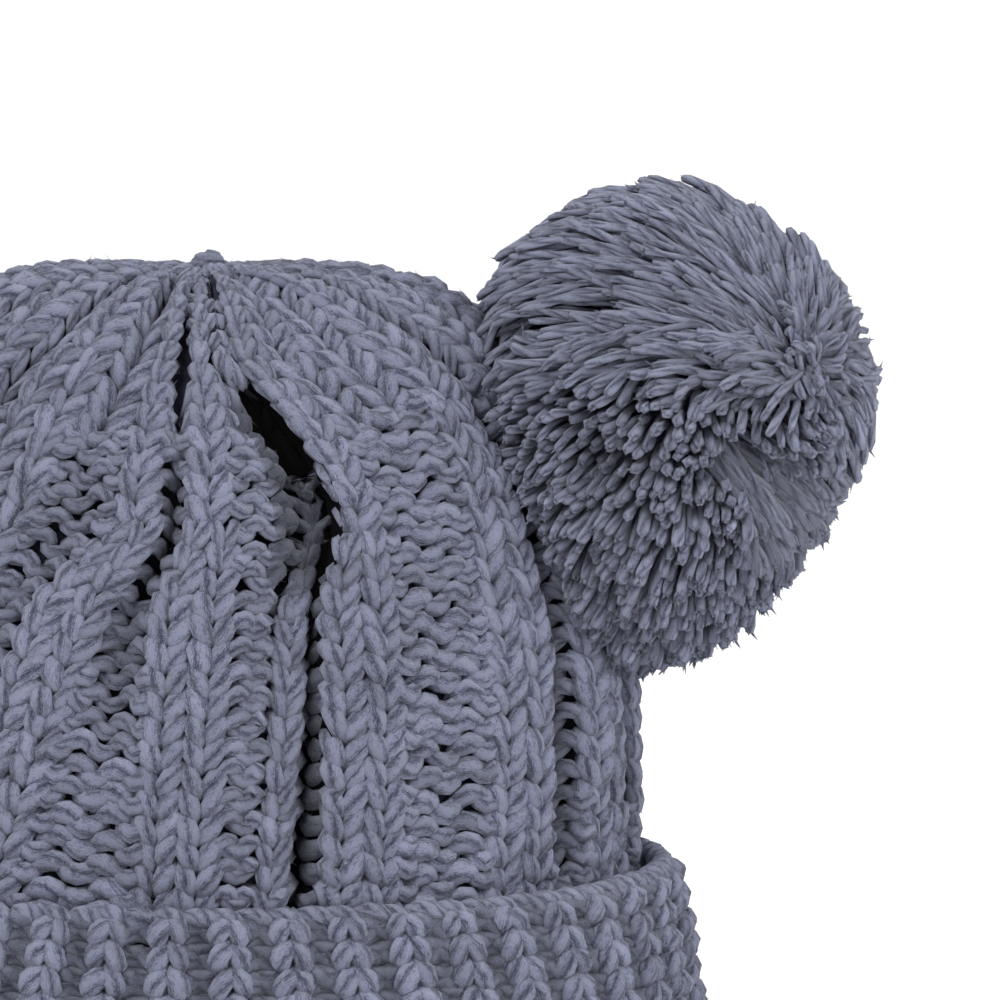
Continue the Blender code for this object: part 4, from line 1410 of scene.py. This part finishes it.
class BABYHAT_OT_stage(bpy.types.Operator):
    """Set the camera, the soft lights and the pale floor"""

    bl_idname = "babyhat.stage"
    bl_label = "Stage"

    def execute(self, context):
        settings = context.scene.baby_hat_stage
        scene = context.scene
        scene.view_settings.view_transform = "Standard"
        data = bpy.data.cameras.new("camera")
        camera = bpy.data.objects.new("camera", data)
        scene.collection.objects.link(camera)
        target = Vector((0.0, 0.0, VIEW_HEIGHT))
        reach = settings.distance
        tilt = settings.elevation
        camera.location = target + Vector((0.0, -reach * math.cos(tilt), reach * math.sin(tilt)))
        camera.rotation_euler = (math.pi / 2 - tilt, 0.0, 0.0)
        data.sensor_width = 36.0
        data.lens = 36.0 * reach / settings.view_width
        data.shift_x, data.shift_y = VIEW_SHIFT
        scene.camera = camera
        self.light("key_light", (-0.35, -0.85, 0.95), 0.50, settings.key_power, target)
        self.light("fill_light", (0.85, -0.65, 0.40), 0.50, settings.fill_power, target)
        world = bpy.data.worlds.new("studio")
        scene.world = world
        world.use_nodes = True
        sky = world.node_tree.nodes["Background"]
        sky.inputs["Color"].default_value = (1.0, 1.0, 1.0, 1.0)
        sky.inputs["Strength"].default_value = 1.12
        self.make_floor()
        return {"FINISHED"}

    def light(self, name, place, size, power, target):
        data = bpy.data.lights.new(name, "AREA")
        data.shape = "DISK"
        data.size = size
        data.energy = power
        made = bpy.data.objects.new(name, data)
        made.location = place
        made.rotation_euler = (target - Vector(place)).to_track_quat("-Z", "Y").to_euler()
        bpy.context.scene.collection.objects.link(made)

    def make_floor(self):
        """A wide pale floor under the hat."""
        material = bpy.data.materials.new("floor_paper")
        material.use_nodes = True
        tree = material.node_tree
        shader = tree.nodes["Principled BSDF"]
        shader.inputs["Roughness"].default_value = 0.9
        place = node(tree, "ShaderNodeTexCoord")
        grain = noise(tree, place.outputs["Object"], 14.0, 2.0, 0.5)
        colour = colour_ramp(tree, grain, [(0.3, (0.90, 0.90, 0.905)), (0.7, (0.93, 0.93, 0.935))])
        wire(tree, colour, shader.inputs["Base Color"])
        half = 4.0
        points = np.array([[-half, -half, 0.0], [half, -half, 0.0], [half, half, 0.0], [-half, half, 0.0]])
        floor = mesh_piece("floor", points, [np.array([[0, 1, 2, 3]])], material)


class BABYHAT_PT_panel(bpy.types.Panel):
    """Shows the hat's settings and the buttons that build it"""

    bl_idname = "BABYHAT_PT_panel"
    bl_label = "Baby Hat"
    bl_space_type = "VIEW_3D"
    bl_region_type = "UI"
    bl_category = "Baby Hat"

    def draw(self, context):
        layout = self.layout
        for name in ("baby_hat_yarn", "baby_hat_pompoms", "baby_hat_stage"):
            settings = getattr(context.scene, name)
            box = layout.box()
            for key in settings.bl_rna.properties.keys():
                if key not in ("rna_type", "name"):
                    box.prop(settings, key)
        for operator in OPERATORS:
            layout.operator(operator.bl_idname)


SETTINGS = {
    "baby_hat_yarn": BabyHatYarnSettings,
    "baby_hat_pompoms": BabyHatPompomSettings,
    "baby_hat_stage": BabyHatStageSettings,
}
OPERATORS = (BABYHAT_OT_crown, BABYHAT_OT_cuff, BABYHAT_OT_gather, BABYHAT_OT_pompoms, BABYHAT_OT_stage)


def register():
    for made in (*SETTINGS.values(), *OPERATORS, BABYHAT_PT_panel):
        bpy.utils.register_class(made)
    for name, group in SETTINGS.items():
        setattr(bpy.types.Scene, name, PointerProperty(type=group))


def unregister():
    for name in SETTINGS:
        delattr(bpy.types.Scene, name)
    for made in reversed((*SETTINGS.values(), *OPERATORS, BABYHAT_PT_panel)):
        bpy.utils.unregister_class(made)


def main():
    register()
    bpy.ops.babyhat.crown()
    bpy.ops.babyhat.cuff()
    bpy.ops.babyhat.gather()
    bpy.ops.babyhat.pompoms()
    bpy.ops.babyhat.stage()
    bpy.context.view_layer.update()


if __name__ == "__main__":
    main()
